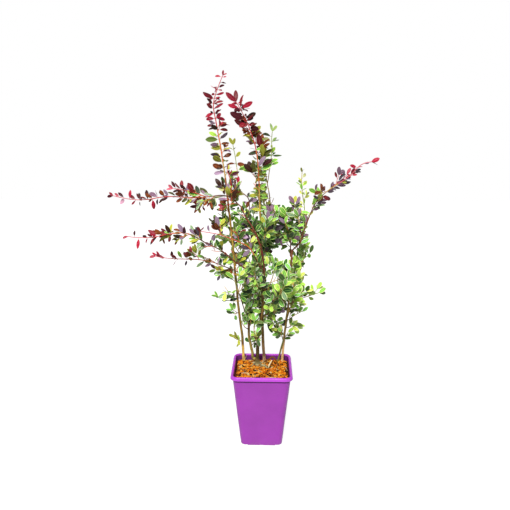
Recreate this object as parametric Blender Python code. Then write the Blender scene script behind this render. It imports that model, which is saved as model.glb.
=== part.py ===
"""Japanese barberry in a square nursery pot.

The shrub is built from tapering stems and boughs, and from masses of foliage in
which leafy twigs branch from one stem by a seeded rule. Lengths are in metres,
+Z is up, and the origin is the centre of the pot's flat underside. Routes of
limbs are given in millimetres, because they read better so.
"""
import math
import random

import bmesh
import bpy
from mathutils import Matrix, Quaternion, Vector
from mathutils.bvhtree import BVHTree

MM = 0.001

# Pot
POT_HEIGHT = 0.190
RIM_HALF = 0.075
RIM_DROP = 0.0085
RIM_SKIN = 0.0016
RIM_EDGE = 0.0016
BODY_TOP_HALF = 0.0695
BODY_FOOT_HALF = 0.051
POT_WALL = 0.0024
POT_FLOOR = 0.0045
CORNER_TOP = 0.014
CORNER_FOOT = 0.012
CORNER_STEPS = 4
FOOT_EDGE = 0.0015
FOOT_EDGE_HEIGHT = 0.0020
FOOT_LIFT = 0.0025
FOOT_INNER = 0.034
NOTCH_WIDTH = 0.009
NOTCH_DEPTH = 0.006
NOTCH_HEIGHT = 0.0014
DRAIN_RADIUS = 0.0038
DRAIN_PLACE = 0.0375
DRAIN_SIDES = 10
DRAIN_CUT = 0.020

# Potting mix
SOIL_EDGE = 0.171
SOIL_TOP = 0.177
SOIL_FLAT_HALF = 0.0585

# Clearances
GAP = 0.0003
CLEARANCE = 0.0007
FOLIAGE_FLOOR = 0.205

# Limbs
LIMB_STEP = 0.036
TWIG_STEP = 0.032
SPLINE_PARTS = 12
FLARE_HEIGHT = 0.020
FLARE_RINGS = [0.0, 0.0035, 0.008, 0.014, 0.021]
LEAD_OUT = 0.0015
FORK_RADIUS_RATIO = 0.85

# Side twigs
TWIG_TIP = 0.00045
SIDE_TWIG_RADIUS = 0.00085
TWIG_LAST_SHARE = 0.86
TWIG_REACH_FOOT = 1.15
TWIG_REACH_LOSS = 0.75
TWIG_ALONG = 0.62
TWIG_ASIDE = 0.80
TWIG_LIFT = Vector((0.0, 0.0, 0.25))
TWIG_BEND = 0.18
TWIG_TRIES = (1.0, 0.7)
TWIG_NODE_RATIO = 0.72
TWIG_NODE_MOST = 0.42

# Leaves
GOLDEN_ANGLE = math.radians(137.5)
FELLOW_ANGLE = math.radians(150)
RETRY_ANGLE = math.radians(70)
LEAF_TRIES = 4
LEAF_ALONG = 0.55
LEAF_ASIDE = 0.85
LEAF_LIFT = Vector((0.0, 0.0, 0.18))
LEAF_FELLOW_LOSS = 0.18
LEAF_TIP_LOSS = 0.22
LEAF_RETRY_LOSS = 0.08
LEAF_ROLL = 0.9
LEAF_WIDTH_RATIO = 0.60
LEAF_THICKNESS_RATIO = 0.045
LEAF_WIDEST = 0.60
LEAF_SPACING_RATIO = 0.46
ROOT_SINK_RATIO = 0.4
END_LEAF_SINK = 0.0030
END_LEAF_RATIO = 0.85

# Ways to fuse a mass, tried in turn
FUSE_WAYS = [
    ("EXACT", "BEAUTY"),
    ("EXACT", "EAR_CLIP"),
    ("MANIFOLD", "BEAUTY"),
    ("MANIFOLD", "EAR_CLIP"),
]
DEGENERATE_LENGTH = 0.000002

# Colours as linear red, green, blue
PURPLE = (0.42, 0.075, 0.48)
COIR = (0.45, 0.17, 0.03)
TAN_BARK = (0.33, 0.19, 0.085)
GREY_BARK = (0.17, 0.13, 0.065)
RED_BARK = (0.30, 0.075, 0.035)
CRIMSON = (0.25, 0.02, 0.03)
PLUM = (0.16, 0.06, 0.06)
OLIVE = (0.17, 0.20, 0.05)
GREEN = (0.13, 0.25, 0.035)
LIME = (0.33, 0.48, 0.07)

# Each limb: parent limb or None, fraction along it, radius at its ends in mm,
# flare in mm, sides, colour, and its route in mm
LIMBS = {
    "stem_left": (None, 0.0, 2.7, 1.7, 1.2, 8, TAN_BARK, [
        (-47.5, 52, 177.3), (-52, 52, 249), (-60, 52, 321), (-71, 50, 454), (-81, 48, 562), (-90, 46, 649)]),
    "stem_centre": (None, 0.0, 3.4, 1.7, 0.8, 8, TAN_BARK, [
        (6, 54, 177.3), (2, 55, 234), (0, 54, 342), (2, 50, 409), (-3, 46, 498), (-7, 42, 590)]),
    "stem_crown": (None, 0.0, 4.6, 2.2, 4.2, 10, GREY_BARK, [
        (-13, 31, 177.3), (-12, 30, 195), (-11, 28, 232), (-8, 24, 279), (2, 16, 334), (6, 10, 387), (4, 4, 443)]),
    "stem_crown_left": ("stem_crown", 0.075, 3.0, 1.8, 0.0, 8, GREY_BARK, [
        (-25, 34, 209), (-33, 30, 255), (-33, 22, 324), (-33, 12, 381), (-39, 2, 438)]),
    "stem_right": (None, 0.0, 3.0, 2.0, 1.2, 8, TAN_BARK, [
        (51, 53, 177.3), (57, 50, 253), (66, 42, 343), (68, 34, 411), (72, 26, 478)]),
    "stem_right_thin": (None, 0.0, 1.9, 1.2, 0.6, 6, GREY_BARK, [
        (39, 53, 177.3), (53, 40, 240), (60, 26, 294), (71, 12, 343)]),
    "bough_arm_top": ("stem_crown", 1.0, 2.1, 1.5, 0.0, 6, RED_BARK, [
        (-5, 0, 495), (-22, -4, 536), (-38, -6, 561), (-50, -6, 588)]),
    "bough_arm_mid": ("stem_crown_left", 1.0, 1.7, 1.2, 0.0, 6, RED_BARK, [
        (-62, -12, 455), (-94, -30, 487), (-126, -40, 505)]),
    "bough_arm_low": ("stem_crown_left", 0.86, 1.4, 1.2, 0.0, 6, RED_BARK, [
        (-51, -2, 425), (-67, -8, 436)]),
    "bough_right_arm": ("stem_right", 1.0, 1.9, 1.3, 0.0, 6, RED_BARK, [
        (92, 18, 502), (97, 14, 524), (109, 8, 558)]),
    "bough_right_inner": ("stem_right", 0.94, 1.6, 1.3, 0.0, 6, RED_BARK, [
        (68, 36, 500), (57, 50, 540), (40, 60, 557), (20, 68, 575)]),
    "bough_back_left": ("stem_centre", 0.42, 1.6, 1.2, 0.0, 6, RED_BARK, [
        (-22, 84, 382), (-46, 108, 425)]),
    "bough_back_right": ("stem_right", 0.62, 1.6, 1.2, 0.0, 6, RED_BARK, [
        (80, 76, 398), (88, 108, 440)]),
    "bough_back_top": ("stem_centre", 0.66, 1.5, 1.2, 0.0, 6, RED_BARK, [
        (10, 82, 486), (14, 112, 532)]),
    "bough_front_left": ("stem_crown_left", 0.50, 1.5, 1.2, 0.0, 6, RED_BARK, [
        (-42, -10, 336), (-48, -38, 372)]),
    "bough_front_right": ("stem_crown", 0.52, 1.5, 1.2, 0.0, 6, RED_BARK, [
        (20, -10, 336), (32, -38, 368)]),
}

# Each mass: limb, fraction along it, stem radius in mm, leaf length in mm, node
# spacing in mm, side twig length in mm, nodes between side twigs, leaves a node,
# colour, stem route in mm up to the tip of its end leaf, and long forks, each as
# a fraction along the stem and a route
MASSES = {
    "leader_left": ("stem_left", 1.0, 1.5, 28, 18, 16, 3, 2, CRIMSON, [
        (-98, 48, 708), (-110, 50, 779), (-116, 52, 817), (-106, 52, 853), (-88, 50, 893)], []),
    "leader_centre": ("stem_centre", 1.0, 1.5, 32, 18, 26, 2, 2, CRIMSON, [
        (-11, 38, 680), (-20, 34, 733), (-40, 28, 784), (-63, 22, 826), (-72, 18, 850)], []),
    "leader_right": ("bough_right_inner", 1.0, 1.2, 25, 19, 16, 4, 2, OLIVE, [
        (13, 70, 624), (4, 72, 665), (-7, 72, 705)], [
        (0.52, [(20, 78, 698), (21, 82, 738), (24, 84, 778)])]),
    "shoot_tall": ("bough_arm_top", 0.80, 1.0, 25, 22, 14, 4, 2, PLUM, [
        (-32, 4, 603), (-52, 10, 623), (-57, 14, 651), (-61, 16, 684), (-72, 16, 744)], []),
    "arm_left_upper": ("bough_arm_top", 1.0, 1.3, 28, 19, 22, 4, 2, CRIMSON, [
        (-80, 0, 609), (-152, 12, 605), (-227, 24, 606), (-299, 34, 597), (-377, 40, 609)], [
        (0.10, [(-72, -12, 640), (-84, -18, 684)]),
        (0.28, [(-168, 2, 620), (-222, -6, 630)])]),
    "arm_left_middle": ("bough_arm_mid", 1.0, 1.2, 28, 18, 24, 3, 2, CRIMSON, [
        (-171, -52, 531), (-213, -60, 529), (-256, -64, 522), (-315, -60, 526)], []),
    "spray_left": ("stem_crown", 0.97, 1.1, 28, 18, 26, 3, 2, OLIVE, [
        (-30, -12, 490), (-57, -16, 506), (-110, -20, 525), (-160, -24, 532)], []),
    "arm_left_low": ("bough_arm_low", 1.0, 1.2, 28, 18, 26, 3, 2, PLUM, [
        (-132, 6, 454), (-185, 16, 456), (-233, 24, 456), (-277, 28, 462)], []),
    "twig_low_left": ("stem_crown", 0.57, 0.9, 21, 23, 14, 3, 1, OLIVE, [
        (-38, -8, 357), (-81, -24, 365), (-117, -34, 385)], []),
    "twig_foot_left": ("stem_left", 0.13, 0.8, 18, 13, 0, 9, 2, LIME, [
        (-67, 44, 243), (-87, 36, 257)], []),
    "tuft_left": ("stem_left", 0.29, 0.9, 28, 12, 16, 2, 2, GREEN, [
        (-72, 40, 309), (-84, 34, 326)], []),
    "arm_right": ("bough_right_arm", 1.0, 1.3, 28, 18, 22, 3, 2, PLUM, [
        (121, 0, 590), (146, -12, 621), (194, -30, 657), (219, -40, 684), (257, -46, 692)], [
        (0.22, [(142, 6, 631), (163, 12, 644), (193, 14, 665)])]),
    "shoulder_right": ("bough_right_arm", 0.50, 1.1, 31, 14, 22, 2, 2, OLIVE, [
        (86, 30, 552), (77, 34, 582), (70, 32, 610)], []),
    "shoulder_pale": ("bough_right_arm", 0.85, 1.0, 20, 17, 14, 3, 2, LIME, [
        (98, 24, 590), (92, 34, 636), (94, 36, 675)], []),
    "shoulder_inner": ("bough_right_inner", 0.28, 1.1, 31, 14, 28, 2, 2, GREEN, [
        (58, 20, 545), (50, 8, 585)], []),
    "column_right": ("stem_right", 0.66, 1.2, 31, 14, 28, 2, 2, LIME, [
        (88, 44, 402), (102, 48, 452), (108, 46, 500)], []),
    "arm_low_right": ("stem_right", 0.545, 1.1, 28, 15, 26, 2, 2, LIME, [
        (93, 32, 352), (122, 24, 366), (157, 18, 379)], []),
    "tuft_low_right": ("stem_right", 0.40, 1.0, 28, 13, 22, 2, 2, GREEN, [
        (80, 40, 306), (98, 36, 318), (118, 30, 324)], []),
    "twig_foot_right": ("stem_right", 0.33, 0.9, 28, 14, 16, 3, 2, GREEN, [
        (76, 46, 278), (107, 38, 276)], []),
    "core_bridge": ("stem_right", 0.80, 1.0, 31, 13, 24, 2, 2, GREEN, [
        (50, 26, 432), (22, 30, 442)], []),
    "core_thin_tip": ("stem_right_thin", 1.0, 1.1, 31, 14, 28, 2, 2, LIME, [
        (76, 0, 372), (74, -8, 412), (62, -12, 456)], []),
    "core_upper_left": ("stem_left", 0.70, 1.1, 31, 13, 30, 2, 2, GREEN, [
        (-64, 36, 520), (-42, 26, 562)], []),
    "core_upper": ("stem_centre", 0.72, 1.2, 31, 13, 32, 2, 2, GREEN, [
        (14, 34, 505), (24, 22, 540), (16, 14, 590)], []),
    "core_upper_front": ("bough_arm_top", 0.34, 1.1, 31, 13, 28, 2, 2, GREEN, [
        (8, -18, 528), (14, -30, 572)], []),
    "core_upper_back": ("stem_centre", 0.78, 1.1, 31, 13, 28, 2, 2, OLIVE, [
        (-24, 66, 530), (-38, 78, 574)], []),
    "core_mid_left": ("stem_crown_left", 0.66, 1.2, 31, 13, 32, 2, 2, GREEN, [
        (-54, 26, 362), (-66, 22, 396), (-70, 20, 446)], []),
    "core_mid_back": ("stem_centre", 0.50, 1.1, 31, 13, 28, 2, 2, GREEN, [
        (-26, 62, 420), (-40, 72, 468)], []),
    "core_centre": ("stem_crown", 0.80, 1.1, 31, 13, 30, 2, 2, GREEN, [
        (-8, -12, 392), (-16, -22, 424), (-20, -26, 475)], []),
    "core_low": ("stem_centre", 0.27, 1.2, 31, 13, 30, 2, 2, LIME, [
        (20, 44, 294), (34, 34, 322), (38, 26, 360)], []),
    "core_low_front": ("stem_crown", 0.26, 1.1, 31, 12, 22, 2, 2, LIME, [
        (-16, 10, 256), (-20, -4, 290), (-16, -12, 330)], []),
    "core_low_left": ("stem_crown_left", 0.36, 1.0, 31, 12, 24, 2, 2, GREEN, [
        (-46, 8, 292), (-58, 0, 326)], []),
    "core_mid_front": ("stem_crown", 0.70, 1.1, 31, 13, 28, 2, 2, GREEN, [
        (16, -14, 396), (26, -26, 428), (30, -32, 476)], []),
    "core_mid_right": ("stem_right", 0.53, 1.1, 31, 13, 28, 2, 2, GREEN, [
        (46, 26, 372), (38, 16, 402), (40, 10, 440)], []),
    "core_low_right": ("stem_right", 0.22, 1.0, 31, 13, 24, 2, 2, LIME, [
        (48, 32, 264), (40, 22, 292), (38, 14, 326)], []),
    "back_left": ("bough_back_left", 1.0, 1.2, 31, 16, 34, 2, 2, OLIVE, [
        (-76, 140, 470), (-98, 158, 526)], []),
    "back_right": ("bough_back_right", 1.0, 1.2, 31, 16, 34, 2, 2, GREEN, [
        (100, 142, 484), (112, 168, 542)], []),
    "back_top": ("bough_back_top", 1.0, 1.2, 31, 16, 34, 2, 2, OLIVE, [
        (8, 148, 578), (2, 170, 632)], []),
    "back_low": ("stem_centre", 0.33, 1.1, 31, 13, 30, 2, 2, GREEN, [
        (10, 88, 330), (22, 116, 366)], []),
    "front_left": ("bough_front_left", 1.0, 1.2, 31, 16, 32, 2, 2, GREEN, [
        (-54, -74, 410), (-58, -104, 446)], []),
    "front_right": ("bough_front_right", 1.0, 1.2, 31, 16, 32, 2, 2, LIME, [
        (44, -76, 402), (58, -108, 436)], []),
}


def clear_scene():
    for obj in list(bpy.data.objects):
        bpy.data.objects.remove(obj, do_unlink=True)


def principled(name, colour, roughness):
    material = bpy.data.materials.new(name)
    material.use_nodes = True
    shader = material.node_tree.nodes["Principled BSDF"]
    shader.inputs["Base Color"].default_value = (*colour, 1.0)
    shader.inputs["Roughness"].default_value = roughness
    material.diffuse_color = (*colour, 1.0)
    return material


def add_object(name, bm, material):
    obj = bare_object(name, bm)
    obj.data.materials.append(material)
    return obj


def loft(bm, rings):
    """Skin a closed body over rings of equal count, with flat ends."""
    loops = [[bm.verts.new(point) for point in ring] for ring in rings]
    count = len(loops[0])
    for lower, upper in zip(loops, loops[1:]):
        for i in range(count):
            j = (i + 1) % count
            bm.faces.new((lower[i], lower[j], upper[j], upper[i]))
    bm.faces.new(list(reversed(loops[0])))
    bm.faces.new(loops[-1])


def rounded_square(half, radius, height):
    """Points round a square with arcs for corners, seen from above."""
    ring = []
    for corner in range(4):
        start = corner * math.pi / 2
        middle = start + math.pi / 4
        centre_x = math.copysign(half - radius, math.cos(middle))
        centre_y = math.copysign(half - radius, math.sin(middle))
        for step in range(CORNER_STEPS):
            angle = start + math.pi / 2 * step / (CORNER_STEPS - 1)
            x = centre_x + radius * math.cos(angle)
            y = centre_y + radius * math.sin(angle)
            ring.append(Vector((x, y, height)))
    return ring


def wall_half(height):
    """Half the pot's outer width at a height on its tapering wall."""
    share = height / (POT_HEIGHT - RIM_DROP)
    return BODY_FOOT_HALF + (BODY_TOP_HALF - BODY_FOOT_HALF) * share


def corner_radius(height):
    share = height / POT_HEIGHT
    return CORNER_FOOT + (CORNER_TOP - CORNER_FOOT) * share


def make_pot(material):
    """A tapered shell whose rim turns out and down, on a notched foot."""
    lip_low = POT_HEIGHT - RIM_DROP
    lip_under = POT_HEIGHT - RIM_SKIN
    inner_top = wall_half(POT_HEIGHT - RIM_EDGE) - POT_WALL
    profile = [
        (BODY_FOOT_HALF - FOOT_EDGE, 0.0),
        (wall_half(FOOT_EDGE_HEIGHT), FOOT_EDGE_HEIGHT),
        (wall_half(lip_under), lip_under),
        (RIM_HALF - RIM_SKIN, lip_under),
        (RIM_HALF - RIM_SKIN, lip_low),
        (RIM_HALF, lip_low),
        (RIM_HALF, POT_HEIGHT - RIM_EDGE),
        (RIM_HALF - RIM_EDGE, POT_HEIGHT),
        (inner_top + RIM_EDGE, POT_HEIGHT),
        (inner_top, POT_HEIGHT - RIM_EDGE),
        (wall_half(POT_FLOOR) - POT_WALL, POT_FLOOR),
    ]
    rings = []
    for half, height in profile:
        radius = corner_radius(height) + half - wall_half(height)
        rings.append(rounded_square(half, radius, height))
    bm = bmesh.new()
    loft(bm, rings)
    pot = add_object("pot", bm, material)
    cut(pot, pot_cutter())
    return pot


def pot_cutter():
    """Corner notches under the foot, small middle notches and drain holes."""
    bm = bmesh.new()
    corner_size = RIM_HALF - FOOT_INNER
    corner_place = FOOT_INNER + corner_size / 2
    for sign_x in (-1, 1):
        for sign_y in (-1, 1):
            place = Matrix.Translation((sign_x * corner_place, sign_y * corner_place, 0.0))
            size = Matrix.Diagonal((corner_size, corner_size, 2 * FOOT_LIFT, 1.0))
            bmesh.ops.create_cube(bm, size=1.0, matrix=place @ size)
    for quarter in range(4):
        turn = Matrix.Rotation(quarter * math.pi / 2, 4, "Z")
        place = Matrix.Translation((0.0, BODY_FOOT_HALF, 0.0))
        size = Matrix.Diagonal((NOTCH_WIDTH, 2 * NOTCH_DEPTH, 2 * NOTCH_HEIGHT, 1.0))
        bmesh.ops.create_cube(bm, size=1.0, matrix=turn @ place @ size)
    holes = bmesh.new()
    for sign_x in (-1, 1):
        for sign_y in (-1, 1):
            place = Matrix.Translation((sign_x * DRAIN_PLACE, sign_y * DRAIN_PLACE, POT_FLOOR))
            bmesh.ops.create_cone(holes, cap_ends=True, segments=DRAIN_SIDES, radius1=DRAIN_RADIUS,
                                  radius2=DRAIN_RADIUS, depth=DRAIN_CUT, matrix=place)
    return [bare_object("foot_notches", bm), bare_object("drain_holes", holes)]


def bare_object(name, bm):
    """An object without material, to cut with or to fuse on."""
    bmesh.ops.recalc_face_normals(bm, faces=bm.faces)
    mesh = bpy.data.meshes.new(name)
    bm.to_mesh(mesh)
    bm.free()
    obj = bpy.data.objects.new(name, mesh)
    bpy.context.scene.collection.objects.link(obj)
    return obj


def cut(obj, cutters):
    for cutter in cutters:
        modifier = obj.modifiers.new("cut", "BOOLEAN")
        modifier.operation = "DIFFERENCE"
        modifier.solver = "EXACT"
        modifier.object = cutter
    apply_modifiers(obj)
    for cutter in cutters:
        bpy.data.objects.remove(cutter, do_unlink=True)


def apply_modifiers(obj):
    graph = bpy.context.evaluated_depsgraph_get()
    mesh = bpy.data.meshes.new_from_object(obj.evaluated_get(graph))
    obj.modifiers.clear()
    obj.data = mesh


def make_potting_mix(material):
    """The filling of the pot, heaped to a flat top that the stems stand on."""
    low = POT_FLOOR + GAP
    profile = [
        (wall_half(low) - POT_WALL - GAP, low),
        (wall_half(SOIL_EDGE) - POT_WALL - GAP, SOIL_EDGE),
        (SOIL_FLAT_HALF, SOIL_TOP),
    ]
    rings = []
    for half, height in profile:
        radius = corner_radius(height) - POT_WALL - GAP
        rings.append(rounded_square(half, radius, height))
    bm = bmesh.new()
    loft(bm, rings)
    return add_object("potting_mix", bm, material)


def spline(points, step):
    """Centripetal Catmull-Rom curve through points, in even steps."""
    first = points[0] * 2 - points[1]
    last = points[-1] * 2 - points[-2]
    padded = [first, *points, last]
    dense = []
    for a, b, c, d in zip(padded, padded[1:], padded[2:], padded[3:]):
        t1 = math.sqrt((b - a).length)
        t2 = t1 + math.sqrt((c - b).length)
        t3 = t2 + math.sqrt((d - c).length)
        for i in range(SPLINE_PARTS):
            t = t1 + (t2 - t1) * i / SPLINE_PARTS
            p = a * ((t1 - t) / t1) + b * (t / t1)
            q = b * ((t2 - t) / (t2 - t1)) + c * ((t - t1) / (t2 - t1))
            r = c * ((t3 - t) / (t3 - t2)) + d * ((t - t2) / (t3 - t2))
            u = p * ((t2 - t) / t2) + q * (t / t2)
            v = q * ((t3 - t) / (t3 - t1)) + r * ((t - t1) / (t3 - t1))
            dense.append(u * ((t2 - t) / (t2 - t1)) + v * ((t - t1) / (t2 - t1)))
    dense.append(points[-1].copy())
    length = sum((b - a).length for a, b in zip(dense, dense[1:]))
    count = max(2, round(length / step))
    return resample(dense, [length * i / count for i in range(count + 1)])


def resample(path, distances):
    """Points at the given distances along a path of straight runs."""
    result = []
    travelled = 0.0
    index = 0
    for distance in distances:
        span = (path[index + 1] - path[index]).length
        while travelled + span < distance and index < len(path) - 2:
            travelled += span
            index += 1
            span = (path[index + 1] - path[index]).length
        share = min(1.0, max(0.0, (distance - travelled) / span))
        result.append(path[index].lerp(path[index + 1], share))
    return result


def path_length(path):
    return sum((b - a).length for a, b in zip(path, path[1:]))


def tangents(path):
    result = []
    for i in range(len(path)):
        ahead = path[min(i + 1, len(path) - 1)]
        behind = path[max(i - 1, 0)]
        result.append((ahead - behind).normalized())
    return result


def tube(bm, path, radii, sides, first_normal=None, spin=0.0):
    """A closed tube on a path; the first ring can lie in a given plane."""
    directions = tangents(path)
    if first_normal is not None:
        directions[0] = first_normal.normalized()
    side = directions[0].orthogonal().normalized()
    side = Quaternion(directions[0], spin) @ side
    rings = []
    for point, direction, radius in zip(path, directions, radii):
        side = (side - direction * side.dot(direction)).normalized()
        across = direction.cross(side)
        ring = []
        for i in range(sides):
            angle = 2 * math.pi * i / sides
            ring.append(point + (side * math.cos(angle) + across * math.sin(angle)) * radius)
        rings.append(ring)
    loft(bm, rings)


class Limb:
    """A tapering stem or bough, and where other pieces grow from it."""

    def __init__(self, route, radius_start, radius_end, flare=0.0, first_normal=None,
                 step=TWIG_STEP, end_leaf=0.0):
        self.first_normal = first_normal
        self.path = spline(route, step)
        if flare > 0.0:
            self.path = refine_foot(self.path)
        if end_leaf > 0.0:
            self.path = shorten(self.path, end_leaf)
        self.length = path_length(self.path)
        self.radii = []
        travelled = 0.0
        for i, point in enumerate(self.path):
            if i > 0:
                travelled += (point - self.path[i - 1]).length
            share = travelled / self.length
            near_foot = max(0.0, 1.0 - travelled / FLARE_HEIGHT)
            radius = radius_start + (radius_end - radius_start) * share
            self.radii.append(radius + flare * near_foot ** 2)

    def at(self, share):
        """Point, tangent and radius at a share of the limb's length."""
        distance = share * self.length
        travelled = 0.0
        for i, (a, b) in enumerate(zip(self.path, self.path[1:])):
            span = (b - a).length
            if travelled + span >= distance or i == len(self.path) - 2:
                part = min(1.0, (distance - travelled) / span)
                radius = self.radii[i] + (self.radii[i + 1] - self.radii[i]) * part
                return a.lerp(b, part), (b - a).normalized(), radius
            travelled += span


def shorten(path, cut_length):
    """The same path, cut back at its end by the length of an end leaf."""
    length = path_length(path) - cut_length
    count = len(path) - 1
    return resample(path, [length * i / count for i in range(count + 1)])


def refine_foot(path):
    """Add rings close to the ground, where a stem flares."""
    length = path_length(path)
    start = FLARE_RINGS[-1]
    rest = length - start
    count = max(2, round(rest / LIMB_STEP))
    distances = FLARE_RINGS + [start + rest * i / count for i in range(1, count + 1)]
    return resample(path, distances)


def millimetres(point):
    return Vector(point) * MM


def start_on(parent, share, target, radius):
    """Start point, first normal and lead-out point of a piece on a limb."""
    point, tangent, parent_radius = parent.at(share)
    if share >= 1.0:
        return [point + tangent * GAP], tangent
    outward = target - point
    outward = (outward - tangent * outward.dot(tangent)).normalized()
    start = point + outward * (parent_radius + GAP)
    lead = start + outward * (radius * 1.5 + LEAD_OUT) + tangent * radius * 0.5
    return [start, lead], outward


def make_limbs():
    limbs = {}
    for name, (parent, share, r_start, r_end, flare, sides, colour, route) in LIMBS.items():
        points = [millimetres(point) for point in route]
        normal = Vector((0.0, 0.0, 1.0))
        if parent is not None:
            start, normal = start_on(limbs[parent], share, points[0], r_start * MM)
            points = start + points
        limb = Limb(points, r_start * MM, r_end * MM, flare * MM, normal, LIMB_STEP)
        limbs[name] = limb
        bm = bmesh.new()
        tube(bm, limb.path, limb.radii, sides, limb.first_normal)
        obj = add_object(name, bm, principled(name + "_bark", colour, 0.75))
        obj.data.shade_smooth()
        obj.data.set_sharp_from_angle(angle=math.radians(50))
    return limbs


class Mass:
    """The stem and the long forks of one mass of foliage."""

    def __init__(self, spec, limbs):
        (parent, share, radius, leaf, node, twig, every, leaves, colour, route, forks) = spec
        points = [millimetres(point) for point in route]
        start, normal = start_on(limbs[parent], share, points[0], radius * MM)
        end_leaf = leaf * MM * END_LEAF_RATIO
        self.stem = Limb(start + points, radius * MM, TWIG_TIP, 0.0, normal, TWIG_STEP, end_leaf)
        self.forks = []
        for fraction, fork_route in forks:
            base, _, fork_radius = self.stem.at(fraction)
            fork_points = [base] + [millimetres(point) for point in fork_route]
            self.forks.append(Limb(fork_points, fork_radius * FORK_RADIUS_RATIO, TWIG_TIP,
                                   end_leaf=end_leaf))
        self.leaf = leaf * MM
        self.node = node * MM
        self.twig = twig * MM
        self.every = every
        self.leaves = leaves
        self.colour = colour

    def axes(self):
        return [self.stem, *self.forks]


class Space:
    """Keeps the pieces of a mass clear of limbs and of every other mass."""

    def __init__(self, limbs, masses):
        self.bodies = []
        for limb in limbs.values():
            self.add(None, limb_body(limb, 8))
        for name, mass in masses.items():
            for axis in mass.axes():
                self.add(name, limb_body(axis, 3))

    def add(self, owner, bm):
        """Remember a placed piece; a limb's owner is None."""
        centre, reach = self.extent(bm)
        self.bodies.append((owner, centre, reach, BVHTree.FromBMesh(bm)))
        bm.free()

    def clear(self, owner, bm):
        """Whether a piece, drawn with its clearance, meets nothing of others."""
        centre, reach = self.extent(bm)
        tree = BVHTree.FromBMesh(bm)
        low = min(vertex.co.z for vertex in bm.verts)
        bm.free()
        if low < FOLIAGE_FLOOR:
            return False
        for other, middle, radius, body in self.bodies:
            if other != owner and (middle - centre).length < radius + reach:
                if tree.overlap(body):
                    return False
        return True

    @staticmethod
    def extent(bm):
        centre = sum((vertex.co for vertex in bm.verts), Vector()) / len(bm.verts)
        return centre, max((vertex.co - centre).length for vertex in bm.verts)


class Grower:
    """Grows leafy twigs from the stem of one mass by a seeded rule."""

    def __init__(self, name, mass, space):
        self.name = name
        self.mass = mass
        self.space = space
        self.chance = random.Random(name)
        self.twigs = []
        self.leaves = []
        self.taken = []

    def grow(self):
        for axis in self.mass.axes():
            self.clothe(axis, self.mass.node, self.mass.leaves, self.mass.twig)
        return self.twigs, self.leaves

    def clothe(self, axis, node, leaves, twig):
        """Set leaves, and side twigs where there are any, along an axis."""
        turn = self.chance.uniform(0.0, 2 * math.pi)
        distance = node * 0.75
        index = 0
        while distance < axis.length - node * 0.3:
            share = distance / axis.length
            point, tangent, radius = axis.at(share)
            outward = Quaternion(tangent, turn) @ tangent.orthogonal().normalized()
            if twig > 0.0 and index % self.mass.every == 0 and share < TWIG_LAST_SHARE:
                reach = twig * (TWIG_REACH_FOOT - TWIG_REACH_LOSS * share)
                reach *= self.chance.uniform(0.8, 1.2)
                self.side_twig(point, tangent, outward, reach)
            else:
                for k in range(leaves):
                    aside = Quaternion(tangent, k * FELLOW_ANGLE) @ outward
                    scale = 1.0 - LEAF_FELLOW_LOSS * k
                    self.leaf(point, tangent, aside, radius, share, scale)
            turn += GOLDEN_ANGLE
            index += 1
            distance += node * self.chance.uniform(0.85, 1.15)
        self.end_leaf(axis)

    def side_twig(self, point, tangent, outward, reach):
        """Try a side twig, then a shorter one; it carries single leaves."""
        heading = (tangent * TWIG_ALONG + outward * TWIG_ASIDE + TWIG_LIFT).normalized()
        for shrink in TWIG_TRIES:
            length = reach * shrink
            bend = tangent * length * TWIG_BEND
            route = [point, point + heading * length * 0.55, point + heading * length + bend]
            twig = Limb(route, SIDE_TWIG_RADIUS, TWIG_TIP, step=length / 2)
            if self.space.clear(self.name, limb_body(twig, 3, CLEARANCE)):
                self.twigs.append(twig)
                self.space.add(self.name, limb_body(twig, 3))
                node = min(self.mass.node * TWIG_NODE_RATIO, length * TWIG_NODE_MOST)
                self.clothe(twig, node, 1, 0.0)
                return

    def end_leaf(self, axis):
        tip, tangent, _ = axis.at(1.0)
        spread = tangent.orthogonal().normalized()
        length = self.mass.leaf * END_LEAF_RATIO
        self.add_leaf(tip, tangent, spread, length, END_LEAF_SINK)

    def leaf(self, point, tangent, outward, radius, share, scale):
        """Try a leaf at a node, then turned round the twig and a little smaller."""
        size = self.mass.leaf * scale * self.chance.uniform(0.88, 1.12)
        size *= 1.0 - LEAF_TIP_LOSS * share
        for attempt in range(LEAF_TRIES):
            aside = Quaternion(tangent, attempt * RETRY_ANGLE) @ outward
            heading = tangent * LEAF_ALONG + aside * LEAF_ASIDE + LEAF_LIFT
            length = size * (1.0 - LEAF_RETRY_LOSS * attempt)
            if self.add_leaf(point, heading.normalized(), aside, length, radius * ROOT_SINK_RATIO):
                return

    def add_leaf(self, root, heading, outward, length, sink):
        """Keep a leaf if it lies in its own space and clear of its fellows."""
        side = heading.cross(outward)
        if side.length < 0.05:
            side = heading.orthogonal()
        roll = self.chance.uniform(-LEAF_ROLL, LEAF_ROLL)
        side = Quaternion(heading, roll) @ side.normalized()
        width = length * LEAF_WIDTH_RATIO * self.chance.uniform(0.9, 1.1)
        middle = root + heading * length * LEAF_WIDEST
        if any((middle - other).length < length * LEAF_SPACING_RATIO for other in self.taken):
            return False
        shape = (root, heading, side, length, width, sink)
        if not self.space.clear(self.name, leaf_body(*shape, CLEARANCE)):
            return False
        self.taken.append(middle)
        self.leaves.append(shape)
        self.space.add(self.name, leaf_body(*shape))
        return True


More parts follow.
